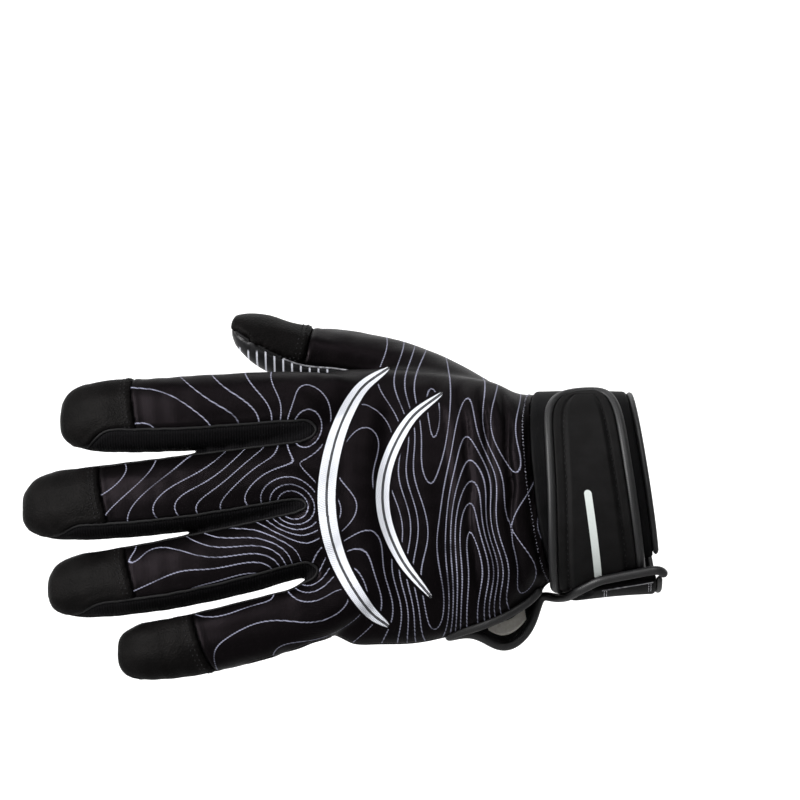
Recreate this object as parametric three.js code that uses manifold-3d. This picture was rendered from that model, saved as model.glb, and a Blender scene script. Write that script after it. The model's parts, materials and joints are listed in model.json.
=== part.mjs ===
// A receiver glove for the left hand, in millimetres, in the shape that it has when it is worn.
// The origin is the centre of the wrist opening. +X runs from the fingertips to the forearm,
// +Z to the thumb side, and the back of the hand faces -Y, rolled a little upwards.
import * as THREE from "three";
import { mergeVertices } from "three/addons/utils/BufferGeometryUtils.js";
import Module from "manifold-3d";

const wasm = await Module();
wasm.setup();

// Walls and clearances
const knitWall = 1.5;
const cuffWall = 2.6;
const strapWall = 2.4;
const labelWall = 0.6;
const gap = 0.3;

// Palm and wrist
const palmLength = 81;
const palmWidth = 99;
const palmDepth = 31;
const webRound = 6;
const webSlant = 7;
const wristWidth = 67;
const wristDepth = 45;
const wristNarrow = 3.5;
const wristLean = 8;
const handRoll = 12;

// Cuff, strap and edge bindings
const cuffLength = 40.5;
const cuffPalmLength = 30;
const cuffProud = 1;
const strapWidth = 34;
const strapTipWidth = 28;
const strapInset = 5.5;
const strapTaper = 24;
const tabNear = 0.24;
const tabFar = 0.66;
const rootNarrow = 9;
const flapTurn = 13;
const bindingRadius = 1.6;
const edgeRadius = 1.1;

// Slit on the little finger's side of the wrist, and the palm's lip that stands out there
const slitReach = 34;
const lipReach = 12;
const slitCuffDeg = 4;
const slitBackDeg = 14;
const slitPalmDeg = 22;

// Elastic gathers on the back, next to the cuff
const gatherCount = 4;
const gatherPitch = 7.5;
const gatherHeight = 1.8;
const gatherInset = 1.5;

// Fingers: half of the side panel between two fingers is on each of them
const sidePanel = 9.5;
const capSlant = 11;
const thumbCapLength = 28.5;

// How each finger lies: where its root is on the palm, its length past the web, and how far
// it leans to the little finger's side. The root and the web are shares of the palm's sizes.
const FINGERS = [
  { name: "index", root: 0.301, web: 1.0, length: 88.3, lean: 4.5 },
  { name: "middle", root: 0.048, web: 1.0, length: 101.8, lean: 12.4 },
  { name: "ring", root: -0.194, web: 0.985, length: 93, lean: 18.4 },
  { name: "little", root: -0.433, web: 0.93, length: 71.2, lean: 16.8 },
];

// How big each finger is, and how it is turned. Side is how much further the side panel comes
// round on to its back, and cap is how far its cap reaches from the tip.
const FINGER_FORMS = {
  index: { width: 26.2, depth: 19.5, roll: 14, side: 11, cap: 29.7 },
  middle: { width: 26.2, depth: 20, roll: 16, side: 5, cap: 32.5 },
  ring: { width: 24.6, depth: 19.5, roll: 17, side: 6, cap: 33 },
  little: { width: 22.3, depth: 18, roll: 14, side: 0, cap: 31.3 },
};
for (const finger of FINGERS) Object.assign(finger, FINGER_FORMS[finger.name]);

// A finger's sections: how far along its length, its width and depth as shares of its own
// sizes, and how far it has bent to the palm's side as a share of its length.
const FINGER_SECTIONS = [
  { along: -0.3, width: 0.6, depth: 0.7, drop: 0.035 },
  { along: -0.12, width: 0.82, depth: 0.94, drop: 0.004 },
  { along: 0.0, width: 0.95, depth: 1.0, drop: 0.0 },
  { along: 0.2, width: 1.0, depth: 0.98, drop: 0.018 },
  { along: 0.46, width: 1.015, depth: 1.0, drop: 0.054 },
  { along: 0.74, width: 0.98, depth: 0.91, drop: 0.126 },
  { along: 0.84, width: 0.93, depth: 0.86, drop: 0.165 },
  { along: 0.91, width: 0.84, depth: 0.74, drop: 0.196 },
  { along: 0.96, width: 0.66, depth: 0.56, drop: 0.22 },
  { along: 0.99, width: 0.38, depth: 0.32, drop: 0.236 },
];

// The thumb: its width, depth, roll and length, and its sections. Along is a share of its
// length; side is a share of the palm's width and back a share of the palm's depth, both from
// the palm's middle line.
const thumbWidth = 24.5;
const thumbDepth = 22.5;
const thumbRoll = 74;
const thumbLength = 107;
const thumbStart = 2;
const THUMB_SECTIONS = [
  { along: 0.0, side: 0.12, back: 0.3, width: 1.25, depth: 1.15 },
  { along: 0.14, side: 0.24, back: 0.52, width: 1.25, depth: 1.15 },
  { along: 0.3, side: 0.35, back: 0.76, width: 1.15, depth: 1.1 },
  { along: 0.45, side: 0.422, back: 0.92, width: 1.04, depth: 1.02 },
  { along: 0.62, side: 0.462, back: 1.01, width: 1.0, depth: 0.97 },
  { along: 0.74, side: 0.474, back: 1.03, width: 1.0, depth: 0.95 },
  { along: 0.82, side: 0.503, back: 1.04, width: 0.96, depth: 0.86 },
  { along: 0.9, side: 0.544, back: 1.04, width: 0.88, depth: 0.74 },
  { along: 0.955, side: 0.574, back: 1.03, width: 0.68, depth: 0.52 },
  { along: 0.99, side: 0.59, back: 1.02, width: 0.36, depth: 0.28 },
];

// The palm's sections, from the cuff (0) to the webs of the fingers (1): width and depth as
// shares of the palm's, side and back of their middle as shares of its width and depth, and
// how far the palm's lip stands out at the slit.
const wristShare = wristWidth / palmWidth;
const wristDeep = wristDepth / palmDepth;
const PALM_SECTIONS = [
  { along: -0.26, width: wristShare, depth: wristDeep, side: 0.0, back: 0.0, lip: 0.0 },
  { along: -0.14, width: wristShare, depth: wristDeep, side: 0.0, back: 0.0, lip: 0.0 },
  { along: 0.0, width: 1.01 * wristShare, depth: wristDeep, side: 0.0, back: 0.0, lip: 0.2 },
  { along: 0.1, width: 0.79, depth: 1.36, side: -0.01, back: 0.0, lip: 1.0 },
  { along: 0.22, width: 0.88, depth: 1.22, side: -0.035, back: 0.02, lip: 0.95 },
  { along: 0.36, width: 0.935, depth: 1.12, side: -0.048, back: 0.03, lip: 0.1 },
  { along: 0.5, width: 0.985, depth: 1.07, side: -0.063, back: 0.03, lip: 0.0 },
  { along: 0.68, width: 1.0, depth: 1.03, side: -0.063, back: 0.03, lip: 0.0 },
  { along: 0.84, width: 0.987, depth: 0.97, side: -0.066, back: 0.02, lip: 0.0 },
  { along: 0.95, width: 0.94, depth: 0.8, side: -0.06, back: -0.05, lip: 0.0 },
];

const FINGER_SIDES = 14;
const PALM_SIDES = 24;
const TUBE_SIDES = 6;
const TUBE_STEP = 7.5;
const WRAP_STEP_DEG = 9;
const FINGER_CORNER = 2.5;
const PALM_CORNER = 2.4;
const WRIST_CORNER = 2.15;

const rad = THREE.MathUtils.degToRad;
const lerp = THREE.MathUtils.lerp;
const smooth = THREE.MathUtils.smoothstep;

// A column of a table, at any place along it, on a smooth line through its rows.
function column(table, name, along) {
  const last = table.length - 1;
  let i = 0;
  while (i < last - 1 && along > table[i + 1].along) i += 1;
  const [a, b] = [table[i], table[i + 1]];
  const [before, after] = [table[Math.max(i - 1, 0)], table[Math.min(i + 2, last)]];
  const span = b.along - a.along;
  const t = THREE.MathUtils.clamp((along - a.along) / span, 0, 1);
  const slopeA = ((b[name] - before[name]) / (b.along - before.along)) * span;
  const slopeB = ((after[name] - a[name]) / (after.along - a.along)) * span;
  const [t2, t3] = [t * t, t * t * t];
  return (2 * t3 - 3 * t2 + 1) * a[name] + (t3 - 2 * t2 + t) * slopeA
    + (3 * t2 - 2 * t3) * b[name] + (t3 - t2) * slopeB;
}

// A point of a rounded section, as shares of its half width and half depth.
function corner(degrees, power) {
  const [c, s] = [Math.cos(rad(degrees)), Math.sin(rad(degrees))];
  return [Math.sign(c) * Math.abs(c) ** (2 / power), Math.sign(s) * Math.abs(s) ** (2 / power)];
}

// The directions of a section: across to the thumb's side, and out of the back of the hand.
function axes(tangent, roll) {
  const across = new THREE.Vector3(0, Math.sin(rad(roll)), Math.cos(rad(roll)));
  across.addScaledVector(tangent, -across.dot(tangent)).normalize();
  const back = new THREE.Vector3().crossVectors(across, tangent).normalize();
  if (back.y > 0) back.negate();
  return { across, back };
}

function solid(positions, triangles) {
  const shape = new wasm.Manifold(new wasm.Mesh({
    numProp: 3,
    vertProperties: new Float32Array(positions),
    triVerts: new Uint32Array(triangles),
  }));
  if (shape.volume() > 0) return shape;
  const turned = [];
  for (let i = 0; i < triangles.length; i += 3) {
    turned.push(triangles[i], triangles[i + 2], triangles[i + 1]);
  }
  return new wasm.Manifold(new wasm.Mesh({
    numProp: 3,
    vertProperties: new Float32Array(positions),
    triVerts: new Uint32Array(turned),
  }));
}

// A closed body through rings of points, each ring with as many points as the others.
function skin(rings) {
  const [count, size] = [rings.length, rings[0].length];
  const points = rings.flat();
  const triangles = [];
  for (let r = 0; r < count - 1; r += 1) {
    for (let k = 0; k < size; k += 1) {
      const next = (k + 1) % size;
      const [a, b, c, d] = [r * size + k, r * size + next, (r + 1) * size + next, (r + 1) * size + k];
      triangles.push(a, b, c, a, c, d);
    }
  }
  for (const [ring, turned] of [[0, true], [count - 1, false]]) {
    const centre = points.length;
    const middle = new THREE.Vector3();
    rings[ring].forEach((p) => middle.addScaledVector(p, 1 / size));
    points.push(middle);
    for (let k = 0; k < size; k += 1) {
      const [a, b] = [ring * size + k, ring * size + ((k + 1) % size)];
      triangles.push(centre, turned ? b : a, turned ? a : b);
    }
  }
  return solid(points.flatMap((p) => p.toArray()), triangles);
}

// The hand's middle line. Along is 0 at the cuff and 1 at the webs. The opening and the sections
// next to the cuff lean, so that they reach further up the arm on the little finger's side.
const leanSlope = Math.tan(rad(wristLean));
const armward = new THREE.Vector3(1, 0, 0);
const cuffSeam = armward.clone().multiplyScalar(-cuffLength);
const palmSlope = new THREE.Vector3(0, Math.sin(rad(handRoll)), Math.cos(rad(handRoll)));

function palmMiddle(along) {
  const p = cuffSeam.clone().addScaledVector(armward, -along * palmLength);
  p.addScaledVector(palmSlope, column(PALM_SECTIONS, "side", along) * palmWidth);
  p.y += column(PALM_SECTIONS, "back", along) * palmDepth;
  return p;
}

// The share of the gathers' height at a place along the palm and round its section.
function gather(along, degrees) {
  const place = (along * palmLength - gatherInset) / gatherPitch;
  if (place <= 0 || place >= gatherCount) return 0;
  const round = smooth(degrees, 22, 58) * smooth(-degrees, -168, -128);
  return (0.5 - 0.5 * Math.cos(2 * Math.PI * place)) * round;
}

function palmPoint(along, degrees, inset, gathered = true) {
  const middle = palmMiddle(along);
  const { across, back } = axes(armward, handRoll);
  const [w, d] = corner(degrees, lerp(PALM_CORNER, WRIST_CORNER, smooth(-along, -0.25, 0)));
  const lip = w < 0 ? lipReach * column(PALM_SECTIONS, "lip", along) * smooth(degrees, 165, 203) : 0;
  const halfWidth = (column(PALM_SECTIONS, "width", along) * palmWidth) / 2 + lip;
  const halfDepth = (column(PALM_SECTIONS, "depth", along) * palmDepth) / 2;
  const rise = gathered ? gatherHeight * gather(along, degrees) : 0;
  middle.addScaledVector(across, w * (halfWidth - inset));
  middle.addScaledVector(back, d * (halfDepth - inset + rise));
  middle.x -= leanSlope * middle.z * smooth(-along, -0.55, -0.3);
  middle.x += webSlant * smooth(along, 0.68, 0.95) * smooth(-middle.z, 12, 42);
  return middle;
}

const round = (count) => Array.from({ length: count }, (_, k) => (k * 360) / count);

function palmForm(inset) {
  const stations = PALM_SECTIONS.map((row) => row.along).filter((along) => along > 0.4);
  const gathers = (gatherInset + gatherCount * gatherPitch) / palmLength;
  const steps = inset ? 4 : gatherCount * 2;
  for (let k = 0; k <= steps; k += 1) {
    stations.push(lerp(gatherInset / palmLength, gathers, k / steps));
  }
  const start = inset ? -0.26 : -0.22;
  stations.push(start, -0.14, -0.07, 0);
  const rings = stations.sort((a, b) => a - b)
    .map((along) => round(PALM_SIDES).map((angle) => palmPoint(along, angle, inset, !inset)));
  // The rounded end at the webs
  const end = PALM_SECTIONS[PALM_SECTIONS.length - 1].along;
  for (const turn of [35, 65]) {
    const shrink = (webRound - inset) * (1 - Math.cos(rad(turn)));
    const forward = Math.max(webRound - inset, 1) * Math.sin(rad(turn));
    rings.push(round(PALM_SIDES).map((angle) => {
      const p = palmPoint(end, angle, inset + shrink, false);
      p.x -= forward;
      return p;
    }));
  }
  return skin(rings);
}

// A finger's middle line, and the half width and half depth of its section, at a place along it.
function fingerRoot(finger) {
  const middle = palmMiddle(finger.web);
  middle.addScaledVector(palmSlope, (finger.root - column(PALM_SECTIONS, "side", finger.web)) * palmWidth);
  middle.y = palmSlope.y * finger.root * palmWidth - palmDepth / 2 + finger.depth / 2 + 0.5;
  return middle;
}

function fingerMiddle(finger, along) {
  const p = fingerRoot(finger);
  p.x -= along * finger.length;
  p.z -= finger.lean * (1.5 * along - 0.5 * along * Math.abs(along));
  p.y += column(FINGER_SECTIONS, "drop", along) * finger.length;
  return p;
}

function fingerHalf(finger, along, inset) {
  const width = (column(FINGER_SECTIONS, "width", along) * finger.width) / 2;
  const depth = (column(FINGER_SECTIONS, "depth", along) * finger.depth) / 2;
  return [Math.max(width - inset, 0.6), Math.max(depth - inset, 0.6)];
}

function fingerAxes(finger, along) {
  const step = 0.03;
  const tangent = fingerMiddle(finger, along - step).sub(fingerMiddle(finger, along + step)).normalize();
  return axes(tangent, finger.roll);
}

function fingerForm(finger, inset) {
  const rows = FINGER_SECTIONS.filter((row) => (1 - row.along) * finger.length > inset);
  return skin(rows.map(({ along }) => {
    const middle = fingerMiddle(finger, along);
    const [width, depth] = fingerHalf(finger, along, inset);
    const { across, back } = fingerAxes(finger, along);
    return round(FINGER_SIDES).map((angle) => {
      const [w, d] = corner(angle, FINGER_CORNER);
      return middle.clone().addScaledVector(across, w * width).addScaledVector(back, d * depth);
    });
  }));
}

// The thumb's middle line and form
function thumbMiddle(along) {
  return new THREE.Vector3(
    cuffSeam.x - thumbStart - along * thumbLength,
    column(THUMB_SECTIONS, "back", along) * palmDepth,
    column(THUMB_SECTIONS, "side", along) * palmWidth,
  );
}

function thumbAxes(along) {
  const step = 0.03;
  const tangent = thumbMiddle(along - step).sub(thumbMiddle(along + step)).normalize();
  const across = new THREE.Vector3(0, Math.sin(rad(thumbRoll)), Math.cos(rad(thumbRoll)));
  across.addScaledVector(tangent, -across.dot(tangent)).normalize();
  const back = new THREE.Vector3().crossVectors(tangent, across).normalize();
  if (back.z < 0) back.negate();
  return { across, back };
}

function thumbForm(inset) {
  const rows = THUMB_SECTIONS.filter((row) => (1 - row.along) * thumbLength > inset);
  return skin(rows.map(({ along, width, depth }) => {
    const middle = thumbMiddle(along);
    const { across, back } = thumbAxes(along);
    const [halfWidth, halfDepth] = [(width * thumbWidth) / 2 - inset, (depth * thumbDepth) / 2 - inset];
    return round(FINGER_SIDES).map((angle) => {
      const [w, d] = corner(angle, FINGER_CORNER);
      return middle.clone().addScaledVector(across, w * halfWidth).addScaledVector(back, d * halfDepth);
    });
  }));
}

function handForm(inset) {
  let form = palmForm(inset).add(thumbForm(inset));
  for (const finger of FINGERS) form = form.add(fingerForm(finger, inset));
  return form;
}

// The seam sheet: a surface through the middle of the hand, from which the back panel, the
// side panels and the palm panel are parted. Lift is how far it stands to the back's side.
const FAR = 130;
const alongOf = (finger, x) => (fingerRoot(finger).x - x) / finger.length;

function sideHalf(finger, x) {
  const along = alongOf(finger, x);
  return (sidePanel / 2) * smooth(-along, -0.93, -0.78);
}

function fingerColumn(finger, x, share, lift) {
  const along = THREE.MathUtils.clamp(alongOf(finger, x), -0.2, 1.2);
  const middle = fingerMiddle(finger, Math.min(along, 1));
  const [width] = fingerHalf(finger, Math.min(along, 1), 0);
  const slope = Math.tan(rad(finger.roll));
  return [middle.y + share * width * slope - lift, middle.z + share * width];
}

// How far a place on the hand is past the fingers' roots, from 0 on them to 1 on the palm
const onPalm = (finger, x) => THREE.MathUtils.clamp((x - fingerRoot(finger).x) / 12, 0, 1);

function edgeColumn(finger, side, x) {
  const share = onPalm(finger, x);
  const palmAlong = THREE.MathUtils.clamp((cuffSeam.x - x) / palmLength, -0.1, 0.9);
  const palm = palmPoint(palmAlong, side > 0 ? 0 : 180, 0, false);
  const [y, z] = fingerColumn(finger, x, side, 0);
  return [lerp(y, palm.y, share), lerp(z, palm.z, share)];
}

// One row of the sheet, as [y, z] points from the little finger's side to the thumb's side.
// On the palm it runs straight from side to side. Clear moves it towards the side panels' middle.
function sheetRow(x, sign, clear) {
  const seam = (sign * gap) / 2;
  const [little, index] = [FINGERS[3], FINGERS[0]];
  const [ulnar, radial] = [edgeColumn(little, -1, x), edgeColumn(index, 1, x)];
  const row = [];
  for (const finger of [...FINGERS].reverse()) {
    const half = sideHalf(finger, x);
    const lift = sign * (Math.max(half, gap / 2) - clear);
    const shares = finger === little ? [0, 1] : finger === index ? [-1, 0] : [-1, 0, 1];
    for (const share of shares) {
      const round = sign > 0 && share < 0 ? (finger.side * half) / (sidePanel / 2) : 0;
      row.push([...fingerColumn(finger, x, share, lift + round), onPalm(finger, x)]);
    }
  }
  // Where two fingers meet, the sheet steps from one to the other at the middle of both.
  for (const step of [1, 4, 7]) {
    const [a, b] = [row[step], row[step + 1]];
    if (a[1] < b[1]) continue;
    const middle = (a[1] + b[1]) / 2 + sign * Math.sign(a[0] - b[0]) * clear;
    [a[1], b[1]] = [middle, middle];
  }
  const flat = row.map(([y, z, share], k) => {
    const across = (k + 1) / (row.length + 1);
    const [palmY, palmZ] = [lerp(ulnar[0], radial[0], across) - seam, lerp(ulnar[1], radial[1], across)];
    return [lerp(y, palmY, share), lerp(z, palmZ, share)];
  });
  return [[ulnar[0] - seam, -FAR], [ulnar[0] - seam, ulnar[1]], ...flat,
    [radial[0] - seam, radial[1]], [radial[0] - seam, FAR]];
}

// A block between the sheet and a far plane, on the back's side (sign 1) or the palm's (-1).
function halfBlock(sign, clear = 0) {
  const stations = [];
  for (let x = 40; x > -250; x -= x > -100 ? 24 : 15) stations.push(x);
  return skin(stations.map((x) => {
    const row = sheetRow(x, sign, clear).map(([y, z]) => new THREE.Vector3(x, y, z));
    return [...row, new THREE.Vector3(x, -sign * FAR, FAR), new THREE.Vector3(x, -sign * FAR, -FAR)];
  }));
}

// The room between the middle lines of two fingers
function betweenBlock(upper, lower) {
  const rings = [];
  for (let k = 0; k <= 12; k += 1) {
    const x = lerp(fingerRoot(upper).x + 14, fingerRoot(lower).x - lower.length * 0.9, k / 12);
    const [low, high] = [fingerColumn(lower, x, 0, 0)[1], fingerColumn(upper, x, 0, 0)[1]];
    const corners = [[-FAR, low], [-FAR, high], [FAR, high], [FAR, low]];
    rings.push(corners.map(([y, z]) => new THREE.Vector3(x, y, z)));
  }
  return skin(rings);
}

// The two halves of the thumb's own room, parted by its side seams. The back's half (sign 1)
// also takes the side of the hand between the thumb and the cuff, above the heel of the palm.
const heelSide = 0.28;
const heelReach = 1.1;
function thumbBlock(sign, clear = 0) {
  const margin = 5 + clear;
  const rings = [];
  for (let k = sign > 0 ? 0 : 5; k <= 14; k += 1) {
    const along = lerp(-0.12, 1.12, k / 14);
    const middle = thumbMiddle(THREE.MathUtils.clamp(along, 0, 0.99));
    middle.x = thumbMiddle(along).x;
    const { across, back } = thumbAxes(THREE.MathUtils.clamp(along, 0.04, 0.96));
    const own = smooth(along, 0.28, 0.44);
    const half = thumbWidth / 2 + margin;
    const ends = [-1, 1].map((side) => {
      const onThumb = middle.clone().addScaledVector(across, side * half);
      const reach = side > 0 ? heelReach : -0.1;
      return new THREE.Vector3(onThumb.x, reach * palmDepth, heelSide * palmWidth).lerp(onThumb, own);
    });
    const [near, far] = [sign * (gap / 2 - clear), sign * lerp(palmWidth / 2, thumbDepth / 2 + margin, own)];
    rings.push([ends[0].clone().addScaledVector(back, near), ends[1].clone().addScaledVector(back, near),
      ends[1].clone().addScaledVector(back, far), ends[0].clone().addScaledVector(back, far)]);
  }
  return skin(rings);
}

// The slit's room: the wall between its two edges, from its round end on the hand to the cuff.
function slitAngles(along) {
  const share = THREE.MathUtils.clamp((along * palmLength) / slitReach, 0, 1);
  const open = Math.sqrt(1 - share ** 2);
  return [180 - lerp(slitCuffDeg, slitBackDeg, smooth(share, 0, 0.7)) * open, 180 + slitPalmDeg * open];
}

// The angle of the palm's section that is as far as told from another, along the form
function angleAt(along, degrees, distance) {
  const from = palmPoint(along, degrees, 0, false);
  let turn = 0;
  while (palmPoint(along, degrees + turn, 0, false).distanceTo(from) < Math.abs(distance)) {
    turn += Math.sign(distance) * 0.25;
  }
  return degrees + turn;
}

function slitBlock() {
  const rings = [];
  for (let k = 0; k <= 9; k += 1) {
    const along = lerp((slitReach + bindingRadius + gap) / palmLength, -0.22, (k / 9) ** 1.6);
    const middle = palmMiddle(along);
    const room = bindingRadius + 6 * gap;
    const [low, high] = slitAngles(along).map((edge, side) => angleAt(along, edge, side ? room : -room));
    const out = (share, scale) => palmPoint(along, lerp(low, high, share), 0, false)
      .sub(middle).multiplyScalar(scale).add(middle);
    const [far, near] = [[0, 0.5, 1].map((share) => out(share, 1.5)), [1, 0.5, 0].map((share) => out(share, 0.6))];
    rings.push([...far, ...near]);
  }
  return skin(rings);
}

// Where the hand ends at the cuff: the plane leans, because the palm reaches further than the back.
const seamLean = (cuffLength - cuffPalmLength) / wristDepth;
const seamDistance = (y) => cuffLength - seamLean * (y + wristDepth / 2);

function wristBlock() {
  const corners = [[-FAR, -FAR], [FAR, -FAR], [FAR, FAR], [-FAR, FAR]].map(([y, z]) => {
    return new THREE.Vector3(-seamDistance(y) - gap - leanSlope * z, y, z);
  });
  return skin([corners, corners.map((p) => p.clone().addScaledVector(armward, FAR))]);
}

// A point on the wrist: how far from the opening, the angle round it, and how far out of the form.
// The wrist narrows to the opening on the little finger's side.
const wristAxes = axes(armward, handRoll);
function wristPoint(distance, degrees, out) {
  const [w, d] = corner(degrees, WRIST_CORNER);
  const narrow = w < 0 ? wristNarrow * THREE.MathUtils.clamp(1 - distance / cuffLength, 0, 1) : 0;
  const p = armward.clone().multiplyScalar(-distance)
    .addScaledVector(wristAxes.across, w * (wristWidth / 2 + out - narrow))
    .addScaledVector(wristAxes.back, d * (wristDepth / 2 + out));
  p.x -= leanSlope * p.z;
  return p;
}

// A band round the wrist, from one angle to another. Shape gives its two edges at each angle, how
// far out its inner face is, and how much further round it is turned at a distance.
function band(from, to, thickness, shape) {
  const steps = Math.ceil(Math.abs(to - from) / WRAP_STEP_DEG);
  const rings = [];
  for (let k = 0; k <= steps; k += 1) {
    const degrees = lerp(from, to, k / steps);
    const { near, far, out, turn } = shape(degrees);
    const high = out + thickness;
    rings.push([[near, out], [far(out), out], [far(high), high], [near, high]]
      .map(([distance, height]) => wristPoint(distance, degrees + turn(distance), height)));
  }
  return skin(rings);
}

const cuffIn = cuffProud - cuffWall;
const strapOut = cuffProud + gap + bindingRadius - strapWall / 2;
const overStrap = strapOut + strapWall / 2 + bindingRadius + gap;
const cuffStart = 148;
const cuffEnd = -190;
const strapStart = 198;
const strapEnd = 26;
const cuffRise = (degrees) => (overStrap - cuffIn) * smooth(-degrees, 100, 142);

// The edge of the cuff next to the hand. At the slit it sweeps down over the strap's root.
const flapStart = -156;
function cuffFar(degrees, out) {
  const far = seamDistance(wristPoint(0, degrees, out).y) - gap;
  return lerp(far, cuffLength * 0.62, smooth(-degrees, -flapStart, -cuffEnd));
}

// The flap's end comes further round on to the back of the wrist next to the opening.
const flapLean = (distance) => -flapTurn * (1 - distance / cuffLength);
const cuffTurn = (degrees, distance) => flapLean(distance) * smooth(-degrees, -flapStart, -cuffEnd);

function cuffBand() {
  return band(cuffStart, cuffEnd, cuffWall, (degrees) => ({
    near: 2 * edgeRadius + gap,
    far: (out) => cuffFar(degrees, out),
    out: cuffIn + cuffRise(degrees),
    turn: (distance) => cuffTurn(degrees, distance),
  }));
}

// The strap's two edges: it narrows to a round tab at its end on the thumb's side.
function strapEdges(degrees, inset) {
  const reach = ((degrees - strapEnd) * Math.PI * wristWidth) / 360 - inset;
  const share = THREE.MathUtils.clamp(1 - reach / strapTaper, 0, 1);
  const width = lerp(strapTipWidth, strapWidth, smooth(degrees, 40, 160));
  const rounding = (1 - Math.sqrt(1 - share ** 3)) * (width - 2 * inset);
  return {
    near: strapInset + inset + rounding * tabNear,
    far: strapInset + width - inset - rounding * tabFar - rootNarrow * smooth(degrees, 172, strapStart),
  };
}

const strapTrim = 2 * bindingRadius + 3 * gap;
function strapBand() {
  const steps = 30;
  const start = strapEnd + (strapTrim * 360) / (Math.PI * wristWidth);
  const rings = [];
  for (let k = 0; k <= steps; k += 1) {
    const degrees = start + (strapStart - start) * (k / steps) ** 1.5;
    const { near, far } = strapEdges(degrees, strapTrim);
    rings.push([[near, 0], [far, 0], [far, strapWall], [near, strapWall]]
      .map(([distance, height]) => wristPoint(distance, degrees, strapOut + height)));
  }
  return skin(rings);
}

// A round binding along points, closed at both ends.
function tube(points, radius) {
  const curve = new THREE.CatmullRomCurve3(points, false, "centripetal");
  const section = new THREE.Shape(round(TUBE_SIDES).map(
    (angle) => new THREE.Vector2(Math.cos(rad(angle)) * radius, Math.sin(rad(angle)) * radius)));
  const made = new THREE.ExtrudeGeometry(section, {
    steps: Math.max(4, Math.round(curve.getLength() / TUBE_STEP)),
    extrudePath: curve,
  });
  return manifoldOf(made);
}

function manifoldOf(made) {
  made.deleteAttribute("normal");
  made.deleteAttribute("uv");
  const merged = mergeVertices(made, 1e-3);
  return solid(Array.from(merged.attributes.position.array), Array.from(merged.index.array));
}

function strapBinding() {
  const points = [];
  const middle = strapOut + strapWall / 2;
  const turns = [strapStart, 190, 176, 160, 140, 120, 100, 80, 66, 54, 44, 37, 32];
  const side = (key) => turns.map((degrees) => wristPoint(
    strapEdges(degrees, bindingRadius)[key], degrees, middle));
  const tip = strapEdges(strapEnd + 3, bindingRadius);
  const end = wristPoint((tip.near + tip.far) / 2, strapEnd + 2.5, middle);
  points.push(...side("near"), end, ...side("far").reverse());
  return tube(points, bindingRadius);
}

// The binding of the slit: from the cuff along the back's edge to the slit's end, back along the
// palm's lip, and on along the free edge of the cuff's palm side to the wrist opening.
function slitBinding() {
  const middle = -knitWall / 2;
  const onHand = (along, side) => palmPoint(along, slitAngles(along)[side], -middle, false);
  const points = [];
  const top = slitReach / palmLength;
  for (const share of [0.07, 0.25, 0.45, 0.65, 0.82, 0.95]) points.push(onHand(share * top, 0));
  points.push(palmPoint(top, 180, -middle, false));
  for (const share of [0.95, 0.82, 0.65, 0.45, 0.25, 0.06]) points.push(onHand(share * top, 1));
  const edge = overStrap + cuffWall / 2;
  const spread = ((bindingRadius + gap) * 360) / (Math.PI * wristDepth);
  for (const degrees of [-166, -176, -186]) {
    const beyond = cuffFar(degrees, edge) + 2.7 * bindingRadius;
    const out = lerp(cuffProud, edge, smooth(-degrees, 146, 165));
    points.push(wristPoint(beyond, degrees + cuffTurn(degrees, beyond) - spread / 2, out));
  }
  for (const share of [0.55, 0.38, 0.2, 0.05]) {
    const distance = share * cuffLength;
    points.push(wristPoint(distance, cuffEnd + flapLean(distance) - spread - 3, edge));
  }
  return tube(points, bindingRadius);
}

// The thin bound edge of the cuff at the wrist opening
function cuffEdge() {
  const points = [];
  for (let k = 0; k <= 17; k += 1) {
    const degrees = lerp(cuffStart, cuffEnd, k / 17);
    const turned = degrees + cuffTurn(degrees, edgeRadius);
    points.push(wristPoint(edgeRadius, turned, cuffIn + cuffRise(degrees) + cuffWall / 2));
  }
  return tube(points, edgeRadius);
}

// The plain size label, sewn inside the palm behind the slit
const labelLength = 14;
function sizeLabel() {
  const along = 0.105;
  const [from, to] = [208, 219];
  const outline = [[0, from], [labelLength, from], [labelLength, to], [0, to]];
  const corners = outline.map(([length, angle]) => {
    return palmPoint(along + length / palmLength, angle, knitWall + 3 * gap, false);
  });
  const inward = palmMiddle(along).sub(corners[0]).normalize().multiplyScalar(labelWall);
  return skin([corners, corners.map((p) => p.clone().add(inward))]);
}

// Everything is cut from one hollow hand form.
const outer = handForm(0);
const inner = handForm(knitWall);
const shell = outer.subtract(inner).subtract(wristBlock()).subtract(slitBlock());
const [thumbBack, thumbPalm] = [thumbBlock(1), thumbBlock(-1)];
const backRoom = halfBlock(1).subtract(thumbPalm).add(thumbBack);
const palmRoom = halfBlock(-1).subtract(thumbBlock(1, gap)).add(thumbPalm);

// A finger's cap covers its back from the tip to the cap's seam, which slants across it.
function capBlock(finger, extra) {
  const along = 1 - (finger.cap + extra) / finger.length;
  const { across, back } = fingerAxes(finger, along);
  const middle = fingerMiddle(finger, along);
  const tangent = new THREE.Vector3().crossVectors(across, back).normalize();
  if (tangent.x > 0) tangent.negate();
  const seamward = across.clone().addScaledVector(tangent, Math.tan(rad(capSlant)));
  const [w, d] = [finger.width / 2 + 1.2, finger.depth + finger.cap];
  const corners = [[-w, -d], [w, -d], [w, d], [-w, d]].map(
    ([x, y]) => middle.clone().addScaledVector(seamward, x).addScaledVector(back, y));
  return skin([corners, corners.map((p) => p.clone().addScaledVector(tangent, finger.cap * 1.5))]);
}

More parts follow.
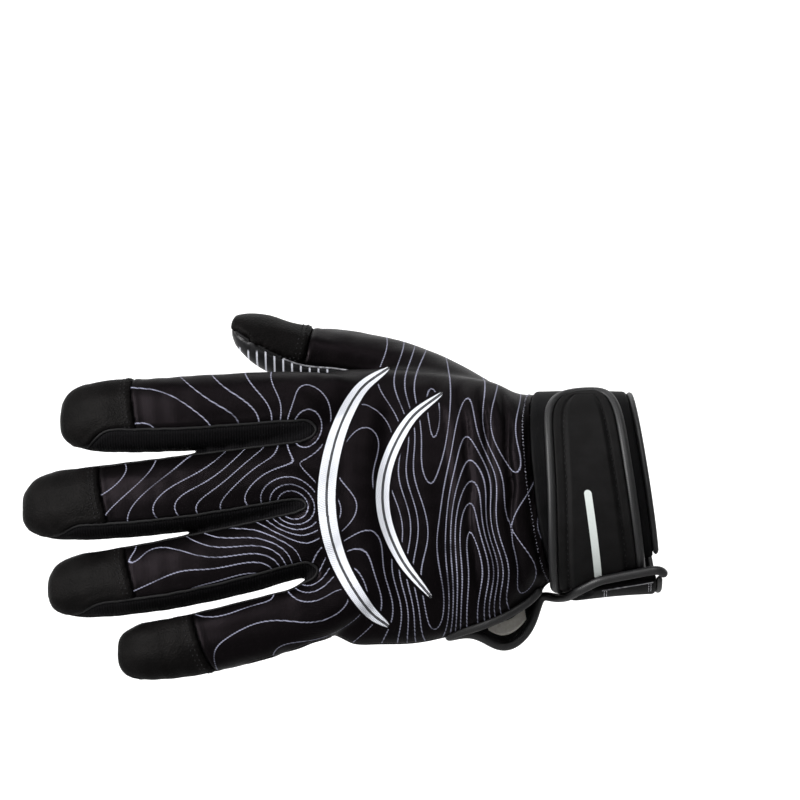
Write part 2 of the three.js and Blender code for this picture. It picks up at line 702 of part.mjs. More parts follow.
function thumbCapBlock(extra) {
  const along = 1 - (thumbCapLength + extra) / thumbLength;
  const { across, back } = thumbAxes(along);
  const middle = thumbMiddle(along);
  const tangent = new THREE.Vector3().crossVectors(across, back).normalize();
  if (tangent.x > 0) tangent.negate();
  const reach = 2 * thumbWidth;
  const corners = [[-reach, -reach], [reach, -reach], [reach, reach], [-reach, reach]].map(
    ([x, y]) => middle.clone().addScaledVector(across, x).addScaledVector(back, y));
  const block = skin([corners, corners.map((p) => p.clone().addScaledVector(tangent, thumbCapLength * 1.6))]);
  return block.intersect(thumbBack);
}

// The largest body of a cut, without the crumbs beside it
function largest(shape) {
  return shape.decompose().sort((a, b) => b.volume() - a.volume())[0];
}

const LEATHER = { color: 0x161617, roughness: 0.62 };
const KNIT = { color: 0x141216, roughness: 0.85 };
const MESH = { color: 0x0c0c0d, roughness: 0.95 };
const GRIP = { color: 0x121212, roughness: 0.35 };
const NEOPRENE = { color: 0x17171a, roughness: 0.6 };
const BINDING = { color: 0x101011, roughness: 0.5 };
const LABEL = { color: 0xdedad2, roughness: 0.8 };

const glove = new THREE.Group();
function place(name, shape, look) {
  const { vertProperties, triVerts } = shape.getMesh();
  const geometry = new THREE.BufferGeometry();
  geometry.setAttribute("position", new THREE.BufferAttribute(new Float32Array(vertProperties), 3));
  geometry.setIndex(new THREE.BufferAttribute(new Uint32Array(triVerts), 1));
  geometry.computeVertexNormals();
  const mesh = new THREE.Mesh(geometry, new THREE.MeshStandardMaterial(look));
  mesh.name = name;
  glove.add(mesh);
}

let back = shell.intersect(backRoom);
for (const finger of FINGERS) {
  place(`${finger.name}_cap`, largest(back.intersect(capBlock(finger, 0))), LEATHER);
  back = back.subtract(capBlock(finger, gap));
}
place("thumb_cap", largest(back.intersect(thumbCapBlock(0))), LEATHER);
back = back.subtract(thumbCapBlock(gap));
place("back_panel", largest(back), KNIT);
place("palm_panel", largest(shell.intersect(palmRoom)), GRIP);

const sides = shell.subtract(halfBlock(1, gap)).subtract(halfBlock(-1, gap));
for (let k = 0; k < FINGERS.length - 1; k += 1) {
  const [upper, lower] = [FINGERS[k], FINGERS[k + 1]];
  place(`side_panel_${upper.name}_${lower.name}`, largest(sides.intersect(betweenBlock(upper, lower))), MESH);
}

place("cuff_band", cuffBand(), NEOPRENE);
place("cuff_edge", cuffEdge(), BINDING);
place("wrist_strap", strapBand(), NEOPRENE);
place("strap_binding", strapBinding(), BINDING);
place("slit_binding", slitBinding(), BINDING);
place("size_label", sizeLabel(), LABEL);

export default glove;
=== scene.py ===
import json
import math

import bpy
import numpy as np
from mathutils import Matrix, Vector
from mathutils.kdtree import KDTree

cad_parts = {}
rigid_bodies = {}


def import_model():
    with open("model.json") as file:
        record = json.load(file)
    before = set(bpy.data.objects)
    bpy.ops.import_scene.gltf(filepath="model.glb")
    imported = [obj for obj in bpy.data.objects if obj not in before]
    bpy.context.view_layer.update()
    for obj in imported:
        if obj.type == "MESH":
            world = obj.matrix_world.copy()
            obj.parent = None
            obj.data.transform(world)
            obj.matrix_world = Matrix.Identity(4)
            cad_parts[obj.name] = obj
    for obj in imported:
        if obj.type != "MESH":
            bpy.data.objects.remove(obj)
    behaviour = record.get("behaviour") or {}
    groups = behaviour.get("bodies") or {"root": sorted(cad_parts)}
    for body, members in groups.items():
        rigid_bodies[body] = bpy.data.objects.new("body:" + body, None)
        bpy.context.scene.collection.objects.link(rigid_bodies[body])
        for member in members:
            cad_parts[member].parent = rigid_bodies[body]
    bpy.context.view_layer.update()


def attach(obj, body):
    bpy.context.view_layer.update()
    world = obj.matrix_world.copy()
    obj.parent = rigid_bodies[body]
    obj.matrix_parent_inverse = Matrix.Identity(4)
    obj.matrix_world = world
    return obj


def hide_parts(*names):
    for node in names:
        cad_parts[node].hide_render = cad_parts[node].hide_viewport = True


# A receiver glove for the left hand. Its sizes and sections are the CAD source's, in millimetres:
# +X runs from the fingertips to the forearm, +Z to the thumb side, and the back faces -Y.
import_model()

MM = 0.001

# Walls, gaps and edges
KNIT_WALL = 1.3
GAP = 0.3
CUFF_WALL = 2.6
STRAP_WALL = 2.4
LABEL_WALL = 0.5
BINDING_RADIUS = 1.6
EDGE_RADIUS = 1.1

# Palm and wrist
PALM_LENGTH = 81.0
PALM_WIDTH = 99.0
PALM_DEPTH = 31.0
WEB_ROUND = 6.0
WEB_SLANT = 7.0
WRIST_WIDTH = 67.0
WRIST_DEPTH = 45.0
WRIST_NARROW = 3.5
WRIST_LEAN = 8.0
HAND_ROLL = 12.0

# Cuff and strap
CUFF_LENGTH = 40.5
CUFF_PALM_LENGTH = 30.0
CUFF_PROUD = 1.0
STRAP_WIDTH = 34.0
STRAP_TIP_WIDTH = 28.0
STRAP_INSET = 5.5
STRAP_TAPER = 24.0
TAB_NEAR = 0.24
TAB_FAR = 0.66
ROOT_NARROW = 4.0
FLAP_TURN = 13.0

# Slit and the palm's lip
SLIT_REACH = 34.0
LIP_REACH = 12.0
SLIT_CUFF_DEG = 4.0
SLIT_BACK_DEG = 14.0
SLIT_PALM_DEG = 22.0

# Elastic gathers
GATHER_COUNT = 4
GATHER_PITCH = 7.5
GATHER_HEIGHT = 3.0
GATHER_INSET = 1.5

# Finger walls and caps
SIDE_PANEL = 9.5
CAP_SLANT = 11.0
THUMB_CAP_LENGTH = 28.5
CAP_PROUD = 0.55
HEEL_SIDE = 0.28
HEEL_REACH = 1.1

FINGER_CORNER = 2.5
PALM_CORNER = 2.4
WRIST_CORNER = 2.15


def table(names, rows):
    """A table as a dict of its columns."""
    return dict(zip(names.split(), np.array(rows, float).T))


# Side is how much further the side panel comes round on to a finger's back.
FINGERS = {
    "index": dict(root=0.301, web=1.0, length=88.3, lean=4.5,
                  width=26.2, depth=19.5, roll=14.0, side=11.0, cap=29.7),
    "middle": dict(root=0.048, web=1.0, length=101.8, lean=12.4,
                   width=26.2, depth=20.0, roll=16.0, side=5.0, cap=32.5),
    "ring": dict(root=-0.194, web=0.985, length=93.0, lean=18.4,
                 width=24.6, depth=19.5, roll=17.0, side=6.0, cap=33.0),
    "little": dict(root=-0.433, web=0.93, length=71.2, lean=16.8,
                   width=22.3, depth=18.0, roll=14.0, side=0.0, cap=31.3),
}

FINGER_SECTIONS = table("along width depth drop", [
    (-0.30, 0.60, 0.70, 0.035),
    (-0.12, 0.82, 0.94, 0.004),
    (0.00, 0.95, 1.00, 0.0),
    (0.20, 1.00, 0.98, 0.018),
    (0.46, 1.015, 1.00, 0.054),
    (0.74, 0.98, 0.91, 0.126),
    (0.84, 0.93, 0.86, 0.165),
    (0.91, 0.84, 0.74, 0.196),
    (0.96, 0.66, 0.56, 0.22),
    (0.99, 0.38, 0.32, 0.236),
])

THUMB_WIDTH = 24.5
THUMB_DEPTH = 22.5
THUMB_ROLL = 74.0
THUMB_LENGTH = 107.0
THUMB_START = 2.0
THUMB_SECTIONS = table("along side back width depth", [
    (0.0, 0.12, 0.3, 1.25, 1.15),
    (0.14, 0.24, 0.52, 1.25, 1.15),
    (0.3, 0.35, 0.76, 1.15, 1.1),
    (0.45, 0.422, 0.92, 1.04, 1.02),
    (0.62, 0.462, 1.01, 1.0, 0.97),
    (0.74, 0.474, 1.03, 1.0, 0.95),
    (0.82, 0.503, 1.04, 0.96, 0.86),
    (0.9, 0.544, 1.04, 0.88, 0.74),
    (0.955, 0.574, 1.03, 0.68, 0.52),
    (0.99, 0.59, 1.02, 0.36, 0.28),
])

WRIST_SHARE = WRIST_WIDTH / PALM_WIDTH
WRIST_DEEP = WRIST_DEPTH / PALM_DEPTH
PALM_SECTIONS = table("along width depth side back lip", [
    (-0.26, WRIST_SHARE, WRIST_DEEP, 0.0, 0.0, 0.0),
    (-0.14, WRIST_SHARE, WRIST_DEEP, 0.0, 0.0, 0.0),
    (0.0, 1.01 * WRIST_SHARE, WRIST_DEEP, 0.0, 0.0, 0.2),
    (0.1, 0.79, 1.36, -0.01, 0.0, 1.0),
    (0.22, 0.88, 1.22, -0.035, 0.02, 0.95),
    (0.36, 0.935, 1.12, -0.048, 0.03, 0.1),
    (0.5, 0.985, 1.07, -0.063, 0.03, 0.0),
    (0.68, 1.0, 1.03, -0.063, 0.03, 0.0),
    (0.84, 0.987, 0.97, -0.066, 0.02, 0.0),
    (0.95, 0.94, 0.8, -0.06, -0.05, 0.0),
])


# Sections and middle lines


def column(rows, name, along):
    """A column of a table, at any places along it, on a smooth line through its rows."""
    at, value = rows["along"], rows[name]
    last = len(at) - 1
    i = np.searchsorted(at[1:last], along, side="left")
    before, after = np.maximum(i - 1, 0), np.minimum(i + 2, last)
    span = at[i + 1] - at[i]
    t = np.clip((along - at[i]) / span, 0, 1)
    slope_a = (value[i + 1] - value[before]) / (at[i + 1] - at[before]) * span
    slope_b = (value[after] - value[i]) / (at[after] - at[i]) * span
    return ((2 * t**3 - 3 * t**2 + 1) * value[i] + (t**3 - 2 * t**2 + t) * slope_a
            + (3 * t**2 - 2 * t**3) * value[i + 1] + (t**3 - t**2) * slope_b)


def smooth(x, low, high):
    t = np.clip((x - low) / (high - low), 0, 1)
    return t * t * (3 - 2 * t)


def lerp(a, b, t):
    return a + (b - a) * t


def stack(x, y, z):
    return np.stack(np.broadcast_arrays(x, y, z), -1).astype(float)


def unit(v):
    return v / np.linalg.norm(v, axis=-1, keepdims=True)


def dot(a, b):
    return (a * b).sum(-1)


def scaled(value, direction):
    """A direction times a number, or times many."""
    return np.asarray(value, float)[..., None] * direction


def corner(degrees, power):
    """A point of a rounded section, as shares of its half width and half depth."""
    c, s = np.cos(np.radians(degrees)), np.sin(np.radians(degrees))
    return np.sign(c) * np.abs(c) ** (2 / power), np.sign(s) * np.abs(s) ** (2 / power)


def axes(tangent, roll):
    """The directions across a section to the thumb's side, and out of its back."""
    across = np.array([0, math.sin(math.radians(roll)), math.cos(math.radians(roll))])
    across = unit(across - scaled(tangent @ across, tangent))
    back = unit(np.cross(across, tangent))
    return across, np.where(back[..., 1:2] > 0, -back, back)


ARMWARD = np.array([1.0, 0.0, 0.0])
HAND_ACROSS, HAND_BACK = axes(ARMWARD, HAND_ROLL)
LEAN_SLOPE = math.tan(math.radians(WRIST_LEAN))


def palm_middle(along):
    side = column(PALM_SECTIONS, "side", along) * PALM_WIDTH
    back = column(PALM_SECTIONS, "back", along) * PALM_DEPTH
    start = stack(-CUFF_LENGTH - along * PALM_LENGTH, back, 0)
    return start + scaled(side, HAND_ACROSS)


def palm_halves(along, degrees, low_side):
    """The half width and half depth of the palm's section, with the lip on the slit's side."""
    lip = LIP_REACH * column(PALM_SECTIONS, "lip", along) * smooth(degrees, 165, 203) * low_side
    width = column(PALM_SECTIONS, "width", along) * PALM_WIDTH / 2 + lip
    return width, column(PALM_SECTIONS, "depth", along) * PALM_DEPTH / 2


def palm_corner(along):
    return lerp(PALM_CORNER, WRIST_CORNER, smooth(-along, -0.25, 0))


def palm_shift(along, z):
    """How far a section's point at a height leans to the fingers (+) or to the arm (-)."""
    web = WEB_SLANT * smooth(along, 0.68, 0.95) * smooth(-z, 12, 42)
    return LEAN_SLOPE * smooth(-along, -0.55, -0.3) * z - web


def palm_point(along, degrees, out=0.0):
    along, degrees = np.broadcast_arrays(np.asarray(along, float), np.asarray(degrees, float))
    w, d = corner(degrees, palm_corner(along))
    width, depth = palm_halves(along, degrees, w < 0)
    p = palm_middle(along) + scaled(w * (width + out), HAND_ACROSS) + scaled(d * (depth + out), HAND_BACK)
    p[..., 0] -= palm_shift(along, p[..., 2])
    return p


def palm_place(points):
    """Where points are on the palm: along it, and the angle round its section."""
    x, z = points[:, 0], points[:, 2]
    along = (-CUFF_LENGTH - x) / PALM_LENGTH
    for _ in range(4):
        along = (-CUFF_LENGTH - x - palm_shift(along, z)) / PALM_LENGTH
    from_middle = points - palm_middle(along)
    across, back = from_middle @ HAND_ACROSS, from_middle @ HAND_BACK
    power = palm_corner(along)
    degrees = np.degrees(np.arctan2(back, across)) % 360
    for _ in range(4):
        width, depth = palm_halves(along, degrees, across < 0)
        w, d = across / width, back / depth
        c, s = np.sign(w) * np.abs(w) ** (power / 2), np.sign(d) * np.abs(d) ** (power / 2)
        degrees = np.degrees(np.arctan2(s, c)) % 360
    return along, degrees


def finger_root(finger):
    root = finger["root"] * PALM_WIDTH
    x = -CUFF_LENGTH - finger["web"] * PALM_LENGTH
    y = HAND_ACROSS[1] * root - PALM_DEPTH / 2 + finger["depth"] / 2 + 0.5
    return np.array([x, y, HAND_ACROSS[2] * root])


def finger_middle(finger, along):
    root = finger_root(finger)
    drop = column(FINGER_SECTIONS, "drop", along) * finger["length"]
    lean = finger["lean"] * (1.5 * along - 0.5 * along * np.abs(along))
    return stack(root[0] - along * finger["length"], root[1] + drop, root[2] - lean)


def finger_axes(finger, along, step=0.03):
    tangent = unit(finger_middle(finger, along - step) - finger_middle(finger, along + step))
    return axes(tangent, finger["roll"])


def thumb_middle(along):
    back = column(THUMB_SECTIONS, "back", along) * PALM_DEPTH
    side = column(THUMB_SECTIONS, "side", along) * PALM_WIDTH
    return stack(-CUFF_LENGTH - THUMB_START - along * THUMB_LENGTH, back, side)


def thumb_axes(along, step=0.03):
    tangent = unit(thumb_middle(along - step) - thumb_middle(along + step))
    roll = math.radians(THUMB_ROLL)
    across = np.array([0, math.sin(roll), math.cos(roll)])
    across = unit(across - scaled(tangent @ across, tangent))
    back = unit(np.cross(tangent, across))
    return across, np.where(back[..., 2:3] < 0, -back, back)


SEAM_LEAN = (CUFF_LENGTH - CUFF_PALM_LENGTH) / WRIST_DEPTH


def seam_distance(y):
    """How far from the wrist opening the hand meets the cuff."""
    return CUFF_LENGTH - SEAM_LEAN * (y + WRIST_DEPTH / 2)


def wrist_point(distance, degrees, out):
    distance, degrees, out = np.broadcast_arrays(distance, np.asarray(degrees, float), out)
    w, d = corner(degrees, WRIST_CORNER)
    narrow = WRIST_NARROW * np.clip(1 - distance / CUFF_LENGTH, 0, 1) * (w < 0)
    p = (scaled(-distance, ARMWARD) + scaled(w * (WRIST_WIDTH / 2 + out - narrow), HAND_ACROSS)
         + scaled(d * (WRIST_DEPTH / 2 + out), HAND_BACK))
    p[..., 0] -= LEAN_SLOPE * p[..., 2]
    return p


# Meshes as arrays


def edges_of(triangles):
    """The edges of triangles, and which three edges each triangle has."""
    sides = np.concatenate([triangles[:, [0, 1]], triangles[:, [1, 2]], triangles[:, [2, 0]]])
    low, high = sides.min(1), sides.max(1)
    size = int(triangles.max()) + 1
    keys, which = np.unique(low.astype(np.int64) * size + high, return_inverse=True)
    return np.stack([keys // size, keys % size], 1), which.reshape(3, -1).T


class Surface:
    """Triangles, their points in millimetres, and named values at the points."""

    def __init__(self, points, triangles, values=None):
        self.points, self.triangles = points, triangles
        self.values = values or {}

    def normals(self):
        a, b, c = (self.points[self.triangles[:, k]] for k in range(3))
        face = np.cross(b - a, c - a)
        total = np.zeros_like(self.points)
        for k in range(3):
            for axis in range(3):
                total[:, axis] += np.bincount(self.triangles[:, k], face[:, axis], len(total))
        return total / np.maximum(np.linalg.norm(total, axis=1, keepdims=True), 1e-12)

    def relax(self, rounds, share=0.5, where=1.0, keep_size=False):
        """Moves points towards the middle of their neighbours; keeping size moves them out again."""
        edges, _ = edges_of(self.triangles)
        a, b = edges.T
        size = len(self.points)
        count = np.maximum(np.bincount(edges.ravel(), minlength=size), 1)
        where = np.broadcast_to(where, size)
        for _ in range(rounds):
            for strength in (share, -share * 1.04) if keep_size else (share,):
                moved = np.empty_like(self.points)
                for axis in range(3):
                    x = self.points[:, axis]
                    moved[:, axis] = (np.bincount(a, x[b], size) + np.bincount(b, x[a], size)) / count - x
                self.points = self.points + (strength * where)[:, None] * moved

    def cut(self, value, snap=0.2):
        """Splits the triangles where a value crosses 0, and returns it at the new points too."""
        value = value.copy()
        edges, which = edges_of(self.triangles)
        a, b = edges.T
        for one, other in ((a, b), (b, a)):
            crossing = value[one] * value[other] < 0
            one, other = one[crossing], other[crossing]
            share = value[one] / (value[one] - value[other])
            close = share < snap
            one, other, share = one[close], other[close], share[close]
            self.points[one] = lerp(self.points[one], self.points[other], share[:, None])
            for name, numbers in self.values.items():
                weight = share if numbers.ndim == 1 else share[:, None]
                numbers[one] = lerp(numbers[one], numbers[other], weight)
            value[one] = 0
        crossing = value[a] * value[b] < 0
        place = np.full(len(edges), -1)
        place[crossing] = len(self.points) + np.arange(crossing.sum())
        a, b = a[crossing], b[crossing]
        share = value[a] / (value[a] - value[b])
        self.points = np.concatenate([self.points, lerp(self.points[a], self.points[b], share[:, None])])
        for name, numbers in self.values.items():
            weight = share if numbers.ndim == 1 else share[:, None]
            self.values[name] = np.concatenate([numbers, lerp(numbers[a], numbers[b], weight)])
        value = np.concatenate([value, np.zeros(len(a))])
        cut_edge = place[which]
        count = (cut_edge >= 0).sum(1)
        made = [self.triangles[count == 0]]
        for turn in range(3):
            order = [turn, (turn + 1) % 3, (turn + 2) % 3]
            corners, middles = self.triangles[:, order], cut_edge[:, order]
            one = (count == 1) & (middles[:, 0] >= 0)
            p, m = corners[one], middles[one, 0]
            made += [np.stack([p[:, 0], m, p[:, 2]], 1), np.stack([m, p[:, 1], p[:, 2]], 1)]
            two = (count == 2) & (middles[:, 0] >= 0) & (middles[:, 2] >= 0)
            p, m, n = corners[two], middles[two, 0], middles[two, 2]
            made += [np.stack([p[:, 0], m, n], 1), np.stack([m, p[:, 1], p[:, 2]], 1),
                     np.stack([m, p[:, 2], n], 1)]
        self.triangles = np.concatenate(made)
        return value

    def part(self, keep):
        """The triangles to keep, with only their own points."""
        used, triangles = np.unique(self.triangles[keep], return_inverse=True)
        values = {name: numbers[used] for name, numbers in self.values.items()}
        return Surface(self.points[used], triangles.reshape(-1, 3), values)

    def at_triangles(self, value):
        return value[self.triangles].mean(1)

    def mesh(self, name):
        mesh = bpy.data.meshes.new(name)
        mesh.from_pydata(self.points * MM, [], self.triangles)
        for label, numbers in self.values.items():
            if numbers.ndim == 2:
                layer = mesh.uv_layers.new(name=label)
                corners = numbers[self.triangles.ravel()] if len(self.triangles) else numbers
                layer.uv.foreach_set("vector", corners.astype(np.float32).ravel())
            else:
                attribute = mesh.attributes.new(label, "FLOAT", "POINT")
                attribute.data.foreach_set("value", numbers.astype(np.float32))
        mesh.polygons.foreach_set("use_smooth", np.ones(len(mesh.polygons), bool))
        return mesh


def chains(pairs):
    """Lines of linked points, from pairs of points that are joined."""
    linked = {}
    for a, b in np.asarray(pairs).tolist():
        linked.setdefault(a, []).append(b)
        linked.setdefault(b, []).append(a)
    lines, left = [], {frozenset(p) for p in np.asarray(pairs).tolist() if p[0] != p[1]}
    starts = [p for p, near in linked.items() if len(near) != 2] + list(linked)
    for start in starts:
        for step in linked[start]:
            if frozenset((start, step)) not in left:
                continue
            line = [start]
            at = step
            while True:
                left.discard(frozenset((line[-1], at)))
                line.append(at)
                onward = [p for p in linked[at] if frozenset((at, p)) in left]
                if len(linked[at]) != 2 or not onward:
                    break
                at = onward[0]
            lines.append(line)
    return lines


def contour(surface, value, keep):
    """The lines on some of a surface's triangles where a value crosses 0."""
    triangles = surface.triangles[keep]
    edges, which = edges_of(triangles)
    a, b = edges.T
    crossing = (value[a] > 0) != (value[b] > 0)
    share = value[a] / np.where(crossing, value[a] - value[b], 1)
    points = lerp(surface.points[a], surface.points[b], share[:, None])
    hit = crossing[which]
    rows = which[hit.sum(1) == 2]
    pairs = rows[crossing[rows]].reshape(-1, 2)
    return [points[line] for line in chains(pairs)]


def soften(line, rounds):
    """A line of points with its small zigzags taken out."""
    for _ in range(rounds):
        inner = (line[:-2] + line[2:] + 2 * line[1:-1]) / 4
        if np.allclose(line[0], line[-1]):
            end = (line[-2] + line[1] + 2 * line[0]) / 4
            line = np.concatenate([[end], inner, [end]])
        else:
            line = np.concatenate([line[:1], inner, line[-1:]])
    return line


def length_of(line):
    return np.linalg.norm(np.diff(line, axis=0), axis=1).sum()


def resample(line, step):
    lengths = np.concatenate([[0], np.cumsum(np.linalg.norm(np.diff(line, axis=0), axis=1))])
    places = np.linspace(0, lengths[-1], max(int(round(lengths[-1] / step)), 1) + 1)
    return np.stack([np.interp(places, lengths, line[:, k]) for k in range(3)], 1)


def skin(rings, closed_ends=True):
    """Triangles over rings of points, which have as many points as one another."""
    count, size = rings.shape[:2]
    points = rings.reshape(-1, 3)
    k, r = np.meshgrid(np.arange(size), np.arange(count - 1))
    after = (k + 1) % size
    a, b, c, d = r * size + k, r * size + after, (r + 1) * size + after, (r + 1) * size + k
    triangles = [np.stack([a, b, c], -1).reshape(-1, 3), np.stack([a, c, d], -1).reshape(-1, 3)]
    if closed_ends:
        points = np.concatenate([points, [rings[0].mean(0), rings[-1].mean(0)]])
        k = np.arange(size)
        after = (k + 1) % size
        last = (count - 1) * size
        triangles += [np.stack([np.full(size, count * size), after, k], 1),
                      np.stack([np.full(size, count * size + 1), last + k, last + after], 1)]
    triangles = np.concatenate(triangles)
    a, b, c = (points[triangles[:, k]] for k in range(3))
    if dot(a, np.cross(b, c)).sum() < 0:
        triangles = triangles[:, ::-1]
    return Surface(points, triangles)


def joined(surfaces):
    points, triangles, start = [], [], 0
    for surface in surfaces:
        points.append(surface.points)
        triangles.append(surface.triangles + start)
        start += len(surface.points)
    names = surfaces[0].values
    values = {name: np.concatenate([s.values[name] for s in surfaces]) for name in names}
    return Surface(np.concatenate(points), np.concatenate(triangles), values)


def tube(line, radius, sides=10, flat=1.0, step=0.8, ends=True):
    """A round or flattened tube along points, with its ends drawn in."""
    line = resample(line, step)
    tangent = unit(np.gradient(line, axis=0))
    side = np.zeros_like(line)
    start = np.cross(tangent[0], HAND_BACK)
    side[0] = unit(start - (start @ tangent[0]) * tangent[0])
    for k in range(1, len(line)):
        turned = side[k - 1] - (side[k - 1] @ tangent[k]) * tangent[k]
        side[k] = turned / np.linalg.norm(turned)
    up = np.cross(tangent, side)
    size = np.full(len(line), radius, float)
    if ends:
        for k, share in ((0, 0.35), (1, 0.8)):
            size[k] *= share
            size[-1 - k] *= share
    turns = np.arange(sides) * 2 * math.pi / sides
    rings = (line[:, None] + (size[:, None] * np.cos(turns))[..., None] * side[:, None]
             + (size[:, None] * np.sin(turns))[..., None] * up[:, None] * flat)
    made = skin(rings)
    reach = np.concatenate([[0], np.cumsum(np.linalg.norm(np.diff(line, axis=0), axis=1))])
    along = np.concatenate([np.repeat(reach, sides), reach[[0, -1]]])
    turn = np.concatenate([np.tile(turns * radius, len(line)), [0, 0]])
    made.values["weave"] = np.stack([along, turn], 1)
    return made


def thing(name, mesh, *materials):
    made = bpy.data.objects.new(name, mesh)
    bpy.context.scene.collection.objects.link(made)
    for material in materials:
        mesh.materials.append(material)
    return made


def baked(source, name, keep=False):
    """The mesh of an object with its modifiers applied, as a new object."""
    graph = bpy.context.evaluated_depsgraph_get()
    mesh = bpy.data.meshes.new_from_object(source.evaluated_get(graph), depsgraph=graph)
    if not keep:
        bpy.data.objects.remove(source)
    mesh.name = name
    return thing(name, mesh)


# The hand's form: lofts of palm, fingers and thumb, made one skin


# How much slimmer stretched knit is, on the sides of fingers that would touch
PARTED = {"ring": (-1, 0.8), "little": (1, 1.3)}


def finger_loft(name, count=90, sides=48):
    finger = FINGERS[name]
    along = np.linspace(-0.3, 0.99, count)
    middle = finger_middle(finger, along)
    across, back = finger_axes(finger, along)
    width = column(FINGER_SECTIONS, "width", along) * finger["width"] / 2
    depth = column(FINGER_SECTIONS, "depth", along) * finger["depth"] / 2
    w, d = corner(np.arange(sides) * 360 / sides, FINGER_CORNER)
    side, slimmer = PARTED.get(name, (1, 0.0))
    reach = width[:, None] - slimmer * smooth(along, 0.0, 0.12)[:, None] * np.clip(side * w, 0, 1)
    return skin(middle[:, None] + (reach * w)[..., None] * across[:, None]
                + (depth[:, None] * d)[..., None] * back[:, None])


def thumb_loft(count=90, sides=48):
    along = np.linspace(0, 0.99, count)
    middle = thumb_middle(along)
    across, back = thumb_axes(along)
    width = column(THUMB_SECTIONS, "width", along) * THUMB_WIDTH / 2
    depth = column(THUMB_SECTIONS, "depth", along) * THUMB_DEPTH / 2
    w, d = corner(np.arange(sides) * 360 / sides, FINGER_CORNER)
    return skin(middle[:, None] + (width[:, None] * w)[..., None] * across[:, None]
                + (depth[:, None] * d)[..., None] * back[:, None])


def palm_loft(count=110, sides=96):
    along = np.linspace(-0.22, PALM_SECTIONS["along"][-1], count)
    degrees = np.arange(sides) * 360 / sides
    rings = [palm_point(a, degrees) for a in along]
    for turn in (15, 30, 45, 60, 75):
        rounding = palm_point(along[-1], degrees, -WEB_ROUND * (1 - math.cos(math.radians(turn))))
        rounding[:, 0] -= WEB_ROUND * math.sin(math.radians(turn))
        rings.append(rounding)
    return skin(np.array(rings))


VOXEL = 0.95
ROOT_ZONE = 13.0


def hand_form():
    """One closed skin round the lofts, with its creases softened as stretched knit has them."""
    lofts = [palm_loft(), thumb_loft()] + [finger_loft(name) for name in FINGERS]
    source = thing("hand_form_lofts", joined(lofts).mesh("hand_form_lofts"))
    remesh = source.modifiers.new("one_skin", "REMESH")
    remesh.mode = "VOXEL"
    remesh.voxel_size = VOXEL * MM
    made = baked(source, "hand_form")
    mesh = made.data
    mesh.calc_loop_triangles()
    points = np.empty(len(mesh.vertices) * 3, np.float32)
    mesh.vertices.foreach_get("co", points)
    triangles = np.empty(len(mesh.loop_triangles) * 3, np.int32)
    mesh.loop_triangles.foreach_get("vertices", triangles)
    bpy.data.objects.remove(made)
    form = Surface(points.reshape(-1, 3).astype(float) / MM, triangles.reshape(-1, 3).astype(int))
    form.relax(8, keep_size=True)
    webs = np.mean([finger_root(f)[0] for f in FINGERS.values()])
    x, y, z = form.points.T
    at_roots = smooth(-np.abs(x - webs + 2), -ROOT_ZONE, -ROOT_ZONE / 3)
    at_thumb = smooth(z, 20, 34) * smooth(x, -115, -95) * smooth(-x, 44, 60)
    form.relax(26, where=np.maximum(at_roots, at_thumb))
    form.relax(3)
    return form


# Where a point is on the glove


def finger_column(finger, x, share, lift):
    root = finger_root(finger)
    along = np.clip((root[0] - x) / finger["length"], -0.2, 1.0)
    middle = finger_middle(finger, along)
    width = np.maximum(column(FINGER_SECTIONS, "width", along) * finger["width"] / 2, 0.6)
    slope = math.tan(math.radians(finger["roll"]))
    return middle[:, 1] + share * width * slope - lift, middle[:, 2] + share * width


def on_palm(finger, x):
    return np.clip((x - finger_root(finger)[0]) / 12, 0, 1)


def side_half(finger, x):
    along = (finger_root(finger)[0] - x) / finger["length"]
    return SIDE_PANEL / 2 * smooth(-along, -0.93, -0.78)


def hand_edge(finger, share, x):
    """The seam between the back and the palm panel on one side of the hand."""
    there = on_palm(finger, x)
    palm_along = np.clip((-CUFF_LENGTH - x) / PALM_LENGTH, -0.1, 0.9)
    palm = palm_point(palm_along, np.full(len(x), 0.0 if share > 0 else 180.0))
    y, z = finger_column(finger, x, share, 0)
    return lerp(y, palm[:, 1], there), lerp(z, palm[:, 2], there)


def sheet_depth(points, sign):
    """How deep (Y) the seam sheet lies at each point: the back's (sign 1) or the palm's (-1)."""
    x, z = points[:, 0], points[:, 2]
    ulnar, radial = hand_edge(FINGERS["little"], -1, x), hand_edge(FINGERS["index"], 1, x)
    names = list(FINGERS)[::-1]
    shares = {"little": (0, 1), "index": (-1, 0)}
    flat = [(FINGERS[name], share) for name in names for share in shares.get(name, (-1, 0, 1))]
    on_fingers = []
    for finger, share in flat:
        half = side_half(finger, x)
        turned = finger["side"] * half / (SIDE_PANEL / 2) if sign > 0 and share < 0 else 0
        on_fingers.append([*finger_column(finger, x, share, sign * half + turned)])
    for step in (1, 4, 7):
        low, high = on_fingers[step], on_fingers[step + 1]
        meet = np.where(low[1] >= high[1], (low[1] + high[1]) / 2, np.nan)
        low[1], high[1] = (np.where(np.isnan(meet), z_here, meet) for z_here in (low[1], high[1]))
    row = [ulnar]
    for k, ((finger, share), (y_here, z_here)) in enumerate(zip(flat, on_fingers)):
        across = (k + 1) / (len(flat) + 1)
        there = on_palm(finger, x)
        row.append((lerp(y_here, lerp(ulnar[0], radial[0], across), there),
                    lerp(z_here, lerp(ulnar[1], radial[1], across), there)))
    row.append(radial)
    depth = np.where(z <= row[0][1], row[0][0], row[-1][0])
    for (y0, z0), (y1, z1) in zip(row[:-1], row[1:]):
        inside = (z > z0) & (z <= z1)
        t = np.clip((z - z0) / np.where(z1 > z0, z1 - z0, 1), 0, 1)
        depth = np.where(inside, lerp(y0, y1, t), depth)
    return depth


